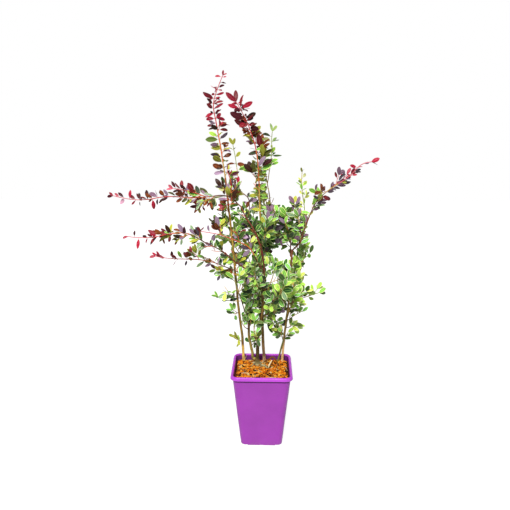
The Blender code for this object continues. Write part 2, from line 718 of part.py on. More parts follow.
def leaf_body(root, heading, side, length, width, sink, pad=0.0):
    """A leaf of four faces with a ridge from its root, in the twig, to its tip.

    A pad makes it larger all round, to keep its neighbours away.
    """
    bm = bmesh.new()
    normal = heading.cross(side)
    thickness = length * LEAF_THICKNESS_RATIO
    widest = root + heading * length * LEAF_WIDEST - normal * (thickness + pad)
    half = width / 2 + pad
    base = bm.verts.new(root - heading * sink + normal * pad)
    tip = bm.verts.new(root + heading * (length + pad) + normal * pad)
    left = bm.verts.new(widest - side * half)
    right = bm.verts.new(widest + side * half)
    for corners in ((base, left, tip), (base, tip, right), (base, right, left), (left, right, tip)):
        bm.faces.new(corners)
    return bm


def limb_body(limb, sides, pad=0.0):
    bm = bmesh.new()
    tube(bm, limb.path, [radius + pad for radius in limb.radii], sides, limb.first_normal)
    return bm


def fuse(obj, parts, solver):
    """Union of an object and a collection of parts, applied to the object."""
    modifier = obj.modifiers.new("fuse", "BOOLEAN")
    modifier.operation = "UNION"
    modifier.operand_type = "COLLECTION"
    modifier.collection = parts
    modifier.solver = solver
    apply_modifiers(obj)


def keep_largest_body(mesh, method):
    """Drop loose scraps and the shells of sealed hollows.

    The result is the place of an edge that isn't shared by two faces, or None.
    """
    bm = bmesh.new()
    bm.from_mesh(mesh)
    seen = set()
    bodies = []
    for face in bm.faces:
        if face in seen:
            continue
        body = []
        stack = [face]
        seen.add(face)
        while stack:
            current = stack.pop()
            body.append(current)
            for edge in current.edges:
                for near in edge.link_faces:
                    if near not in seen:
                        seen.add(near)
                        stack.append(near)
        bodies.append(body)
    bodies.sort(key=len, reverse=True)
    scraps = [face for body in bodies[1:] for face in body]
    bmesh.ops.delete(bm, geom=scraps, context="FACES")
    midway = [vertex for vertex in bm.verts if len(vertex.link_edges) == 2]
    bmesh.ops.dissolve_verts(bm, verts=midway)
    bmesh.ops.triangulate(bm, faces=bm.faces, ngon_method=method)
    bmesh.ops.dissolve_degenerate(bm, edges=bm.edges, dist=DEGENERATE_LENGTH)
    bmesh.ops.triangulate(bm, faces=bm.faces, ngon_method=method)
    faults = [edge.verts[0].co.copy() for edge in bm.edges if len(edge.link_faces) != 2]
    bm.to_mesh(mesh)
    bm.free()
    return faults[0] if faults else None


def make_mass(name, mass, space):
    """Fuse a mass; where that leaves a fault, the leaf nearest to it is dropped."""
    twigs, leaves = Grower(name, mass, space).grow()
    parts = bpy.data.collections.new(name + "_parts")
    bpy.context.scene.collection.children.link(parts)
    for twig in [*mass.forks, *twigs]:
        hold(parts, bare_object(name + "_twig", limb_body(twig, 3)))
    leaf_pieces = []
    for leaf in leaves:
        piece = bare_object(name + "_leaf", leaf_body(*leaf))
        hold(parts, piece)
        leaf_pieces.append((leaf[0], piece))
    material = principled(name + "_foliage", mass.colour, 0.5)
    fault = try_fusing(name, mass, parts, material)
    while fault is not None:
        leaf_pieces.sort(key=lambda entry: (entry[0] - fault).length)
        bpy.data.objects.remove(leaf_pieces.pop(0)[1], do_unlink=True)
        fault = try_fusing(name, mass, parts, material)
    for piece in list(parts.objects):
        bpy.data.objects.remove(piece, do_unlink=True)
    bpy.data.collections.remove(parts)


def hold(parts, piece):
    bpy.context.scene.collection.objects.unlink(piece)
    parts.objects.link(piece)


def try_fusing(name, mass, parts, material):
    """Fuse by each solver in turn, and give the last fault if none is clean."""
    fault = None
    for solver, method in FUSE_WAYS:
        obj = add_object(name, limb_body(mass.stem, 3), material)
        fuse(obj, parts, solver)
        fault = keep_largest_body(obj.data, method)
        if fault is None:
            return None
        bpy.data.objects.remove(obj, do_unlink=True)
    return fault


def main():
    clear_scene()
    make_pot(principled("pot_plastic", PURPLE, 0.42))
    make_potting_mix(principled("potting_mix", COIR, 0.95))
    limbs = make_limbs()
    masses = {name: Mass(spec, limbs) for name, spec in MASSES.items()}
    space = Space(limbs, masses)
    for name, mass in masses.items():
        make_mass(name, mass, space)


main()
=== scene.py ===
"""Looks of a japanese barberry in a square pot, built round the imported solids.

Lengths are in metres, +Z is up and the origin is under the middle of the pot.
Routes of limbs are given in millimetres, as in the part's source, and sizes of
pixels belong to a photograph 510 pixels wide.
"""

import math
import random

import bmesh
import bpy
from mathutils import Euler, Matrix, Quaternion, Vector, noise
from mathutils.bvhtree import BVHTree


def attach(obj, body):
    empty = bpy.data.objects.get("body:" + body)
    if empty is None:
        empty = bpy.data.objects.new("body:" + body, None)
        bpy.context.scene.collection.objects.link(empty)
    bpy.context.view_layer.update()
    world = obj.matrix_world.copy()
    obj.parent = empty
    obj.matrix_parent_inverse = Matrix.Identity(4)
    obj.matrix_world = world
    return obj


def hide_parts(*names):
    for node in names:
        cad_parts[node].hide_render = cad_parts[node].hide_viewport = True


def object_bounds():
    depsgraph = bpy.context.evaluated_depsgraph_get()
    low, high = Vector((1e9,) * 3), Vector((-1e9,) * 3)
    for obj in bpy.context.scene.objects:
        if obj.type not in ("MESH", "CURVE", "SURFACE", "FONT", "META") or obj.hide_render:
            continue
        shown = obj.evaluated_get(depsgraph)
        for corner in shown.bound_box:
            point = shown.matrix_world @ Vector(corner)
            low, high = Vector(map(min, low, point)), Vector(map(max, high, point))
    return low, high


MM = 0.001
UP = Vector((0.0, 0.0, 1.0))
AWAY = Vector((0.0, 1.0, 0.0))
GOLDEN_ANGLE = math.radians(137.5)
SOFT_CREASE = math.radians(60)
BARK_CREASE = math.radians(70)

# Camera
PHOTO_WIDTH = 510
FOCAL_PIXELS = 490
SENSOR_WIDTH = 36.0
CAMERA_PLACE = (0.0146, -1.138, 0.7125)
CAMERA_TILT = math.radians(78)
CAMERA_TURN = math.radians(1.6)

# Light
AMBIENT_STRENGTH = 0.40
BACKDROP_STRENGTH = 1.0
KEY_STRENGTH = 3.0
KEY_FROM = (-0.15, -0.88, 0.85)
KEY_ANGLE = math.radians(16)
FLOOR_HALF = 6.0
FLOOR_COLOUR = (0.24, 0.24, 0.24)
FLOOR_GLOW = 0.90

# Pot, as in the part's source
POT_HEIGHT = 0.190
RIM_HALF = 0.075
RIM_DROP = 0.0085
RIM_SKIN = 0.0016
BODY_TOP_HALF = 0.0695
BODY_FOOT_HALF = 0.051
POT_WALL = 0.0024
POT_FLOOR = 0.0045
CORNER_TOP = 0.014
CORNER_FOOT = 0.012
FOOT_LIFT = 0.0025
FOOT_INNER = 0.034
NOTCH_WIDTH = 0.009
NOTCH_DEPTH = 0.006
NOTCH_HEIGHT = 0.0014
DRAIN_RADIUS = 0.0038
DRAIN_PLACE = 0.0375
DRAIN_CUT = 0.020
DRAIN_SIDES = 24
CORNERS = ((-1, -1), (-1, 1), (1, -1), (1, 1))
CORNER_STEPS = 12
SIDE_STEPS = 10
LIP_STEPS = 6
WALL_STEPS = 16
WALL_WOBBLE = 0.00035
LIP_SHADE = 0.0052
LIP_SHADE_DEPTH = 0.0010
STEP_CLEAR = 0.001
FOOT_ROUND = 0.0020
FOOT_STEPS = 5
WALL_FOOT = 0.0030
SKIN_CORNER = 0.0012
SKIN_INSET = 0.0004
SKIRT_CLEAR = 0.0006
SKIRT_DRAFT = 0.0002
SKIRT_RISE = 0.0030
LIP_ROUND = 0.0034
LIP_PLACE = 0.0044
MOUTH_ROUND = 0.0022
LEAST_CORNER = 0.004
WOBBLE_FROM = 0.02
WOBBLE_ACROSS = 14
WOBBLE_UP = 9
WALL_SLOT, PAINTED_HIGHLIGHT_SLOT, PAINTED_SHADE_SLOT = range(3)

# Potting mix
SOIL_EDGE = 0.1735
SOIL_TOP = 0.1775
SOIL_CELLS = 84
SOIL_ROUGHNESS = 0.0016
SOIL_SINK = 0.4
SOIL_NOISE = (130, 320)
DOME_POWER = 6
SPOT_CORNER = 0.010
NOISE_SHARES = (0.6, 0.4)

# Loose pieces on the mix; a pair is the least and the most that is drawn
CHIP_COUNT = 1500
CHIP_SIZE = (0.0020, 0.0052)
CHIP_SPREAD = (0.7, 1.4)
CHIP_WIDTH = (0.40, 0.85)
CHIP_THICKNESS = (0.0005, 0.0016)
CHIP_LIFT = (-0.0004, 0.0020)
CHIP_TILT = 0.75
CHIP_SIDES = (5, 7)
CHIP_LONG_EDGE = (0.72, 1.12)
CHIP_WIDE_EDGE = (0.70, 1.15)
CHIP_THICK_EDGE = (0.6, 1.3)
CHIP_TOP = 0.9
CHIP_UNDER = 0.6
CHIP_REACH = 0.8
CHIP_MARGIN = 0.002
TILT_ROUND = 6.283
CRUMB_COUNT = 500
CRUMB_SIZE = (0.0005, 0.0013)
CRUMB_SLOTS = (0, 1, 1, 2, 3)
CRUMB_MARGIN = 0.003
PERLITE_COUNT = 14
PERLITE_SIZE = (0.0010, 0.0022)
PERLITE_MARGIN = 0.006
PERLITE_LIFT = 0.0008
LUMP_SQUEEZE = ((0.8, 1.3), (0.7, 1.1), (0.6, 0.9))
LUMP_UNEVEN = 0.45
LUMP_NOISE = 1.6
FIBRE_COUNT = 260
FIBRE_LENGTH = (0.006, 0.022)
FIBRE_BOW = (-0.35, 0.35)
FIBRE_RISE = (0.0006, 0.0032)
FIBRE_LIFT = 0.0008
FIBRE_RADIUS = (0.00014, 0.00034)
FIBRE_TAPER = (0.6, 1, 1, 1, 1, 1, 0.5)
FIBRE_SLOTS = (0, 0, 1, 2)
FIBRE_MARGIN = 0.006
FIBRE_REACH = 0.3
FIBRE_SIDES = 3
FIBRE_CLEAR = 0.001
STRAW_STEP = 0.0015
STRAW_END = 0.75
STRAW_SIDES = 6

# Bark: noise round and along a limb, and how far its forms stand out
RIDGE_NOISE = (2.6, 24)
RIDGE_RISE = 0.085
WRINKLE_NOISE = (6.0, 60)
WRINKLE_RISE = 0.045
BARK_NODE = 0.021
BARK_NODE_EDGE = 6.5
BARK_NODE_RISE = 0.16
KNOB_NOISE = (150, 340)
KNOB_REACH = 0.034
KNOB_RISE = 0.0022
GNARLED_FLARE = 2.0
CROWN_GNARL = 1.0
STEM_GNARL = 0.35
BOUGH_GNARL = 0.15
ROOT_GNARL = 1.3
ROOT_TAPER = 0.45
ROOT_STEP = 0.0012
ROOT_SIDES = 12

# Limbs: the steps of their routes, how they join and how they wander
GAP = 0.0003
STEM_SINK = 0.006
LIMB_STEP = 0.0020
SPLINE_PARTS = 12
JOIN_DEPTH = 0.0018
LEAD_OUT = 0.0015
LEAD_RADII = 1.5
LEAD_RISE = 0.5
FLARE_HEIGHT = 0.028
WANDER_SEED = 8
WANDER = 0.0009
WANDER_SCALE = 38.0
WANDER_FROM = 0.01

# Stems of masses: radii in metres, and places of nodes as shares of their spacing
TWIG_STEP = 0.0040
STEM_TIP = 0.00085
STEM_STOUTNESS = 1.25
FORK_RADIUS_RATIO = 0.85
TWIG_SIDES = 6
NODE_SWELL = 0.00022
NODE_SWELL_REACH = 0.0022
FIRST_NODE = 0.75
LAST_NODE = 0.3
NODE_SPREAD = (0.60, 1.40)
LIMB_AGE = 0.3
LONG_STYLES = ("leader", "arm", "arm_right")

# Side twigs: their reach as shares of the mass's, and what they lean to
SIDE_TWIG_RADIUS = 0.00085
TWIG_TIP = 0.00055
SIDE_TWIG_STEP = 0.003
TWIG_FREE_FROM = 2
TWIG_BODY_SIDES = 3
TWIG_NODE = 0.0072
TWIG_REACH_FOOT = 1.15
TWIG_REACH_LOSS = 0.75
TWIG_SPREAD = (0.8, 1.2)
TWIG_TRIES = 3
TWIG_RETRY_LOSS = 0.12
TWIG_ALONG = 0.62
TWIG_ASIDE = 0.80
TWIG_LIFT = Vector((0.0, 0.0, 0.25))
TWIG_MIDDLE = 0.55
TWIG_BEND = 0.18
TWIG_AGE_GAIN = 0.25
TWIG_AGE_LEAD = 0.05
SUB_TWIG_LEAST = 0.020
SUB_TWIG_RATIO = 0.50
SUB_TWIG_PLACES = (0.34, 0.66)
SUB_TWIG_SPREAD = (0.7, 1.1)

# Spines
SPINE_LENGTH = 0.0050
SPINE_RADIUS = 0.00028
SPINE_SIDES = 3
SPINE_TAPER = (1.4, 0.8, 0.15)
SPINE_SHARE = 0.5
SPINE_SPREAD = (0.6, 1.2)
SPINE_LEAN = (-0.2, 0.4)
SPINE_DROP = 0.2

# Leaf shapes: ranges that each leaf draws from, as shares of its size or in radians
LEAF_WIDTH = (0.84, 1.14)
LEAF_BOW = (-0.10, 0.34)
LEAF_DROOP = (-0.06, 0.26)
LEAF_TWIST = (-0.45, 0.45)
LEAF_FOLD = (-0.08, 0.42)
LEAF_CURL = (0.02, 0.26)
LEAF_WAVE = (0.0, 0.14)
LEAF_BLUNT = (0.88, 1.12)

# Leaf meshes: the outline, its stations and columns, the rib and the stalk
WEDGE = 0.75
LEAF_ENDS = (0.012, 0.992)
LEAF_MIDDLE = 0.6
WAVE_TURNS = 5.5
WAVE_SHIFT = 1.2
LEAF_STATIONS = (0.0, 0.08, 0.20, 0.36, 0.52, 0.68, 0.82, 0.92, 0.975, 1.0)
LEAF_COLUMNS = (-1.0, -0.72, -0.38, -0.05, 0.05, 0.38, 0.72, 1.0)
MARGIN_STRIPS = (0, 6)
RIB_STRIP = 3
LEAF_BACK = 0.00022
RIB_GROOVE = 0.00010
RIB_REACH = 0.1
RIB_ENDS = (0.02, 0.95)
PETIOLE = 0.0030
PETIOLE_RADIUS = 0.00034
PETIOLE_TAPER = (1.2, 0.9, 1.0)
PETIOLE_OVERLAP = 0.02
PETIOLE_DROP = 0.6
PETIOLE_SAG = 0.0002
PETIOLE_SIDES = 3
STALK_ROOT = 0.4

# How many leaves grow at a node, and how large they are
LEAF_SPREAD = (0.70, 1.18)
LEAF_TIP_LOSS = 0.22
LEAF_CHANGES = (-1, 0, 0, 1)
LOWER_PART = 0.42
LOWER_PARTS = {"leader_centre": 0.64}
LOWER_LEAVES = {"leader_centre": 0.72}
TIP_FROM = 0.72
TIP_SIZE_GAIN = 0.15
SPARSE_FROM = 0.86
FELLOW_ANGLE = math.radians(150)
FELLOW_LOSS = 0.13
FELLOW_LEAST = 0.55
END_LEAF_RATIO = 0.85
END_LEANS = (0.35, -0.60)
END_TURN = 0.5
END_LOSS = 0.10
SAME_COLOUR = 0.5

# Where leaves point, and where their faces turn
LEAF_ASIDE = 0.85
LEAF_LIFT = Vector((0.0, 0.0, 0.18))
LEAF_DIP = 0.34
LEAN_SPREAD = (-0.1, 2.1)
LEAF_TRIES = 5
LEAF_RETRY_LOSS = 0.06
RETRY_ANGLE = math.radians(70)
FACE_UP = 0.42
FACE_LIGHT = 0.80
FACE_LOOSE = 0.57
TO_LIGHT = Vector((-0.2, -1.0, 0.0))
BACK_FROM = 0.080
EDGE_ON = 0.96

# Room that leaves need, and what they mustn't hide
LEAF_SPACING_RATIO = 0.40
FOLIAGE_FLOOR = 0.196
REACH_SPARE = 0.004
CELL = 0.03
BODY_LENGTH = 0.016
BODY_SIDES = 4
LIMB_PAD = 0.0008
STEM_PAD = 0.0004
TWIG_PAD = 0.0002
PROXY_STATIONS = (0.24, 0.45, 0.70, 1.0)
PROXY_COLUMNS = (-1.0, 0.0, 1.0)
SIGHT_POINTS = ((0.25, 0.0), (0.45, 0.0), (0.7, 0.0), (1.0, 0.0), (0.55, -0.9), (0.55, 0.9))
STEM_IN_SIGHT = 0.001
STEM_MARGIN = 0.75

# Roughness of surfaces, and how far its patches go below and above it
LEAF_GLOSS = 0.46
UNDER_GLOSS = 0.66
GLOSS_LESS = 0.08
GLOSS_MORE = 0.12
NOISE_SPAN = (0.3, 0.7)
DUST_HEIGHT = 0.022

# Linear colours of marks on surfaces
STREAK_BROWN = (0.045, 0.026, 0.014)
# Dark brown of the painted shadow patches on bark and roots
PAINTED_SHADOW_BROWN = (0.030, 0.020, 0.010)
BLOTCH_TAN = (0.55, 0.42, 0.20)
LENTICEL_TAN = (0.56, 0.42, 0.22)
DUST_BROWN = (0.36, 0.27, 0.20)
PERLITE_SHADE = (0.55, 0.52, 0.46)
PERLITE_WHITE = (0.86, 0.85, 0.81)

# Surface colours as bytes of sRGB; bark's go by height and soil's by shade
POT_PURPLE = (165, 60, 178)
# The lip's lighter purple is a painted highlight on the rim
LIP_PAINTED_HIGHLIGHT_PURPLE = (192, 74, 212)
# A darker purple as painted shade inside the pot, and as a painted shadow in the band under the lip
PAINTED_SHADE_PURPLE = (104, 34, 114)
SOIL_COLOURS = [(0.28, (26, 12, 6)), (0.45, (58, 28, 10)), (0.60, (120, 60, 16)),
                (0.78, (190, 104, 30))]
# Stems by height: partly the bark's own colour, partly painted sunlight in the golden bands and painted
# shadow in the dark bands between them
LIMB_COLOURS_WITH_PAINTED_LIGHT = {
    "stem_left": [(0.177, (252, 214, 118)), (0.218, (250, 204, 96)), (0.226, (120, 74, 40)),
                  (0.25, (178, 144, 60)), (0.32, (172, 134, 50)), (0.38, (124, 96, 42)),
                  (0.48, (240, 202, 84)), (0.57, (250, 184, 80)), (0.65, (182, 94, 64))],
    "stem_centre": [(0.177, (212, 182, 138)), (0.20, (184, 148, 104)), (0.228, (168, 132, 78)),
                    (0.29, (160, 130, 58)), (0.34, (150, 122, 54)), (0.40, (196, 150, 72)),
                    (0.50, (206, 160, 66)), (0.59, (240, 194, 86))],
    "stem_crown": [(0.180, (208, 190, 132)), (0.187, (150, 134, 76)), (0.198, (88, 74, 30)),
                   (0.24, (84, 68, 28)), (0.27, (128, 100, 48)), (0.31, (168, 126, 62)),
                   (0.35, (176, 136, 66)), (0.39, (150, 98, 60)), (0.44, (134, 66, 52))],
    "stem_crown_left": [(0.20, (176, 158, 78)), (0.24, (172, 150, 70)), (0.28, (140, 108, 56)),
                        (0.36, (140, 92, 56)), (0.44, (138, 72, 56))],
    "stem_right": [(0.177, (246, 200, 134)), (0.22, (240, 192, 130)), (0.25, (216, 168, 110)),
                   (0.27, (200, 160, 92)), (0.29, (204, 172, 84)), (0.38, (176, 132, 70)),
                   (0.46, (156, 86, 58)), (0.48, (160, 74, 56))],
    "stem_right_thin": [(0.177, (132, 138, 60)), (0.24, (128, 130, 54)), (0.265, (196, 156, 86)),
                        (0.34, (176, 138, 72))],
}
# How far painted shadow patches darken the bark, on most limbs and on some, and how far pale blotches
# lighten it
BARK_PAINTED_SHADOW = 0.45
BARK_PAINTED_SHADOWS = {"stem_crown": 0.55, "stem_crown_left": 0.60}
BARK_BLOTCH = 0.22
# On the roots: painted shadow patches and pale blotches
ROOT_PAINTED_SHADOW = 0.80
ROOT_BLOTCH = 0.10
# Roots by height: darker towards the mix, and pale on top as a painted highlight
ROOT_COLOURS_WITH_PAINTED_LIGHT = [(0.1755, (46, 32, 14)), (0.1785, (140, 118, 66)), (0.183, (214, 200, 146))]
BOUGH_COLOURS = [(0.32, (130, 88, 62)), (0.42, (126, 62, 50)), (0.58, (164, 74, 60))]

# Colours of leaves, in the order of their sides
LEAF_SIDES = ("top", "under", "margin", "rib")
LEAF_COLOURS = {
    "crimson": ((136, 12, 38), (168, 84, 118), (150, 22, 50), (186, 68, 88)),
    "rose": ((178, 62, 80), (208, 140, 160), (190, 78, 96), (216, 140, 150)),
    "wine": ((104, 24, 30), (152, 104, 130), (120, 36, 42), (172, 80, 84)),
    "bronze": ((98, 44, 18), (150, 118, 118), (122, 66, 28), (166, 104, 58)),
    "plum": ((98, 72, 88), (160, 144, 170), (116, 88, 104), (160, 130, 142)),
    # Mauve stands partly for grey-mauve leaves and partly for a painted sheen of the sky on leaf tops
    "mauve": ((140, 114, 138), (182, 162, 186), (158, 132, 150), (184, 158, 172)),
    "olive": ((138, 142, 42), (182, 186, 118), (176, 174, 72), (206, 202, 98)),
    "green": ((104, 168, 54), (168, 198, 116), (218, 240, 128), (200, 224, 120)),
    "dark_green": ((32, 72, 28), (104, 138, 86), (150, 188, 92), (116, 160, 78)),
    "grey_green": ((110, 142, 104), (158, 180, 140), (214, 226, 158), (184, 204, 144)),
    "lime": ((170, 224, 72), (204, 232, 128), (238, 250, 142), (226, 242, 140)),
    "yellow_green": ((186, 234, 98), (216, 238, 150), (250, 254, 176), (238, 248, 160)),
    "variegated": ((104, 168, 70), (188, 212, 132), (255, 252, 188), (206, 230, 120)),
    "pale": ((224, 230, 96), (230, 234, 136), (240, 242, 142), (242, 244, 160)),
}
# Each leaf colour in three copies, a painted shaded one, a middle one and a painted lit one, dealt out
# to leaves at random, with how common each is and the brightest byte a lit copy may take
LEAF_PAINTED_LIGHT_TONES = (0.54, 1.06, 1.34)
PAINTED_LIGHT_TONE_WEIGHTS = (3, 5, 3)
BRIGHTEST = 250

# Colours of twigs
TWIG_COLOURS = {
    "brown_twig": (122, 72, 48),
    "tan_twig": (214, 172, 88),
    "orange_shoot": (230, 116, 52),
    "red_shoot": (212, 54, 48),
    "pink_shoot": (226, 96, 108),
    "green_twig": (158, 170, 80),
    "pale_twig": (215, 200, 110),
    "spine": (150, 110, 70),
}

# Colours of loose material on the potting mix, and how common each is
CHIP_COLOURS = {
    "chip_orange": ((236, 138, 22), 8),
    "chip_rust": ((196, 96, 12), 5.5),
    "chip_dark": ((46, 22, 8), 5),
    "chip_sand": ((244, 176, 62), 4),
    "chip_straw": ((244, 212, 140), 0.7),
}

# Colours of coir threads and dry straws
FIBRE_COLOURS = {
    "fibre_rust": (168, 96, 46),
    "fibre_orange": (206, 124, 52),
    "straw": (246, 224, 170),
    "brown_straw": (122, 78, 26),
}

# Habits of growth: leaf length and node spacing as shares of the source's, how far
# leaves lean along the stem, how much of their rise they keep, their width and
# bluntness, leaf size at the tip, the share of the stem where side twigs end, how
# full its lower and upper parts are, and its palette: mixtures of leaf colours from
# foot to tip, with how common each colour is
HABITS = {
    "leader": (1.08, 0.56, 0.14, 0.66, 0.46, 0.62, 0.40, 0.60, 2.6, 3.1, [
        (0.0, "olive 5, bronze 2, plum 2, mauve 3, green 4, lime 3"),
        (0.30, "bronze 4, wine 2, plum 3, mauve 2, olive 4, lime 1"),
        (0.55, "wine 4, bronze 4, plum 2, mauve 1, crimson 3"),
        (0.72, "crimson 7, wine 2, plum 1"),
        (1.0, "crimson 4, rose 5")]),
    "leader_mid": (1.04, 0.38, 0.16, 0.30, 0.45, 0.62, 0.92, 0.90, 1.00, 4.8, [
        (0.0, "olive 4, green 5, lime 2, mauve 1"),
        (0.35, "olive 3, green 5, plum 1, mauve 1, bronze 2, grey_green 3, dark_green 1"),
        (0.58, "olive 3, green 4, plum 2, bronze 2, grey_green 3"),
        (0.68, "bronze 6, wine 3, plum 2, mauve 1, olive 2"),
        (0.80, "bronze 6, wine 5, crimson 2"),
        (0.90, "crimson 6, wine 3, bronze 1"),
        (1.0, "crimson 8, wine 2")]),
    "leader_green": (0.98, 0.66, 0.20, 0.80, 0.46, 0.58, 0.78, 0.50, 0.6, 1.8, [
        (0.0, "green 4, olive 2, lime 5, dark_green 1, mauve 1"),
        (0.60, "green 4, olive 2, lime 5"),
        (1.0, "green 5, dark_green 1, lime 4")]),
    "tall": (0.92, 0.62, 0.20, 0.70, 0.46, 0.60, 0.78, 0.60, 1.1, 1.4, [
        (0.0, "mauve 3, olive 4, green 4, lime 2"),
        (0.50, "bronze 2, mauve 3, olive 4, green 3"),
        (1.0, "olive 5, bronze 2, lime 3")]),
    "arm": (0.96, 0.80, 0.88, 1.0, 0.42, 0.70, 0.58, 0.46, 2.5, 1.7, [
        (0.0, "green 5, olive 3, grey_green 3, mauve 3, lime 1, dark_green 2"),
        (0.34, "olive 5, bronze 2, mauve 2, green 3, grey_green 2, lime 1"),
        (0.54, "bronze 6, wine 3, olive 2, mauve 1"),
        (0.68, "wine 6, bronze 4, crimson 2, plum 1"),
        (0.84, "crimson 4, wine 4, bronze 1"),
        (1.0, "crimson 8, rose 5")]),
    "arm_low": (0.96, 0.74, 0.88, 1.0, 0.43, 0.70, 0.58, 0.55, 2.6, 1.7, [
        (0.0, "green 6, olive 3, lime 3, mauve 1, grey_green 1"),
        (0.55, "green 5, olive 4, bronze 2, mauve 2, grey_green 2"),
        (0.78, "wine 3, bronze 3, rose 4, olive 1"),
        (1.0, "rose 5, crimson 4")]),
    "arm_right": (0.74, 0.70, 0.95, 0.62, 0.48, 0.62, 0.90, 0.60, 0.8, 2.2, [
        (0.0, "green 5, grey_green 4, plum 3, lime 1"),
        (0.25, "plum 4, mauve 3, green 3, grey_green 3, bronze 1"),
        (0.60, "plum 4, mauve 2, wine 4, bronze 2, olive 1, crimson 1"),
        (0.85, "crimson 4, plum 3, mauve 2"),
        (1.0, "crimson 7, rose 2, wine 2")]),
    "arm_base": (0.90, 0.70, 0.75, 1.0, 0.47, 0.60, 0.80, 0.95, 2.1, 1.9, [
        (0.0, "green 5, dark_green 3, olive 2, lime 3, grey_green 3, variegated 3"),
        (0.4, "olive 3, green 5, bronze 1, mauve 2, lime 2, grey_green 3"),
        (1.0, "bronze 3, olive 3, mauve 3, green 3, wine 1")]),
    "shoulder": (0.84, 0.48, 0.50, 0.8, 0.51, 0.55, 0.80, 0.86, 1.6, 1.6, [
        (0.0, "green 5, dark_green 1, variegated 6, lime 4, grey_green 2"),
        (0.55, "green 5, plum 2, mauve 1, grey_green 3, lime 2, variegated 5, dark_green 1"),
        (0.80, "green 4, plum 3, mauve 3, grey_green 3, lime 1, olive 1, dark_green 1"),
        (1.0, "plum 3, mauve 4, olive 2, green 3")]),
    "pale": (0.95, 0.60, 0.40, 1.0, 0.48, 0.52, 0.60, 0.60, 1.0, 1.0, [
        (0.0, "lime 4, green 1, pale 2"),
        (1.0, "pale 6, lime 3")]),
    "core_top": (0.77, 0.54, 0.50, 0.8, 0.51, 0.54, 0.80, 0.86, 1.0, 1.1, [
        (0.0, "dark_green 10, green 4, lime 1, variegated 3, grey_green 4"),
        (1.0, "mauve 2, green 4, olive 1, variegated 4, lime 3, grey_green 3, plum 1, dark_green 2")]),
    "core": (0.77, 0.54, 0.50, 0.8, 0.51, 0.54, 0.80, 0.86, 1.0, 1.0, [
        (0.0, "dark_green 7, green 4, variegated 5, lime 2, grey_green 3"),
        (1.0, "green 4, dark_green 2, variegated 7, lime 4, grey_green 3, mauve 1")]),
    "low": (0.79, 0.54, 0.50, 0.8, 0.52, 0.54, 0.80, 0.86, 1.0, 1.0, [
        (0.0, "green 4, dark_green 4, lime 3, variegated 6, grey_green 2"),
        (1.0, "lime 5, green 5, variegated 10, dark_green 1, grey_green 1")]),
    "bright": (0.84, 0.84, 0.50, 0.8, 0.52, 0.54, 0.80, 0.86, 0.78, 0.78, [
        (0.0, "lime 7, green 4, variegated 10"),
        (1.0, "lime 8, yellow_green 2, green 3, variegated 11")]),
    "twig": (0.95, 0.60, 0.60, 0.8, 0.48, 0.55, 0.80, 0.80, 1.3, 1.3, [
        (0.0, "green 4, grey_green 3, variegated 2, plum 2"),
        (1.0, "lime 2, green 3, variegated 2, grey_green 2, plum 2")]),
    "foot": (1.30, 0.50, 0.70, 1.0, 0.42, 0.60, 0.75, 0.80, 1.6, 1.6, [
        (0.0, "lime 3, olive 3, green 1"),
        (1.0, "lime 4, olive 3")]),
    "back": (0.77, 0.52, 0.50, 0.8, 0.51, 0.54, 0.80, 0.86, 1.3, 1.1, [
        (0.0, "green 5, dark_green 4, grey_green 2, lime 2, variegated 3"),
        (1.0, "olive 2, plum 2, green 4, variegated 3, bronze 1, wine 1, lime 3")]),
}

# Twigs: colour along a stem from foot to tip
TWIG_STYLES = {
    "leader": [(0.0, "tan_twig"), (0.15, "orange_shoot"), (0.50, "red_shoot"), (0.85, "pink_shoot")],
    "arm": [(0.0, "brown_twig"), (0.25, "orange_shoot"), (0.45, "red_shoot"), (0.80, "pink_shoot")],
    "arm_right": [(0.0, "brown_twig"), (0.25, "tan_twig"), (0.55, "pink_shoot")],
    "core": [(0.0, "brown_twig"), (0.35, "tan_twig"), (0.70, "green_twig")],
    "pale": [(0.0, "green_twig"), (0.50, "pale_twig")],
}

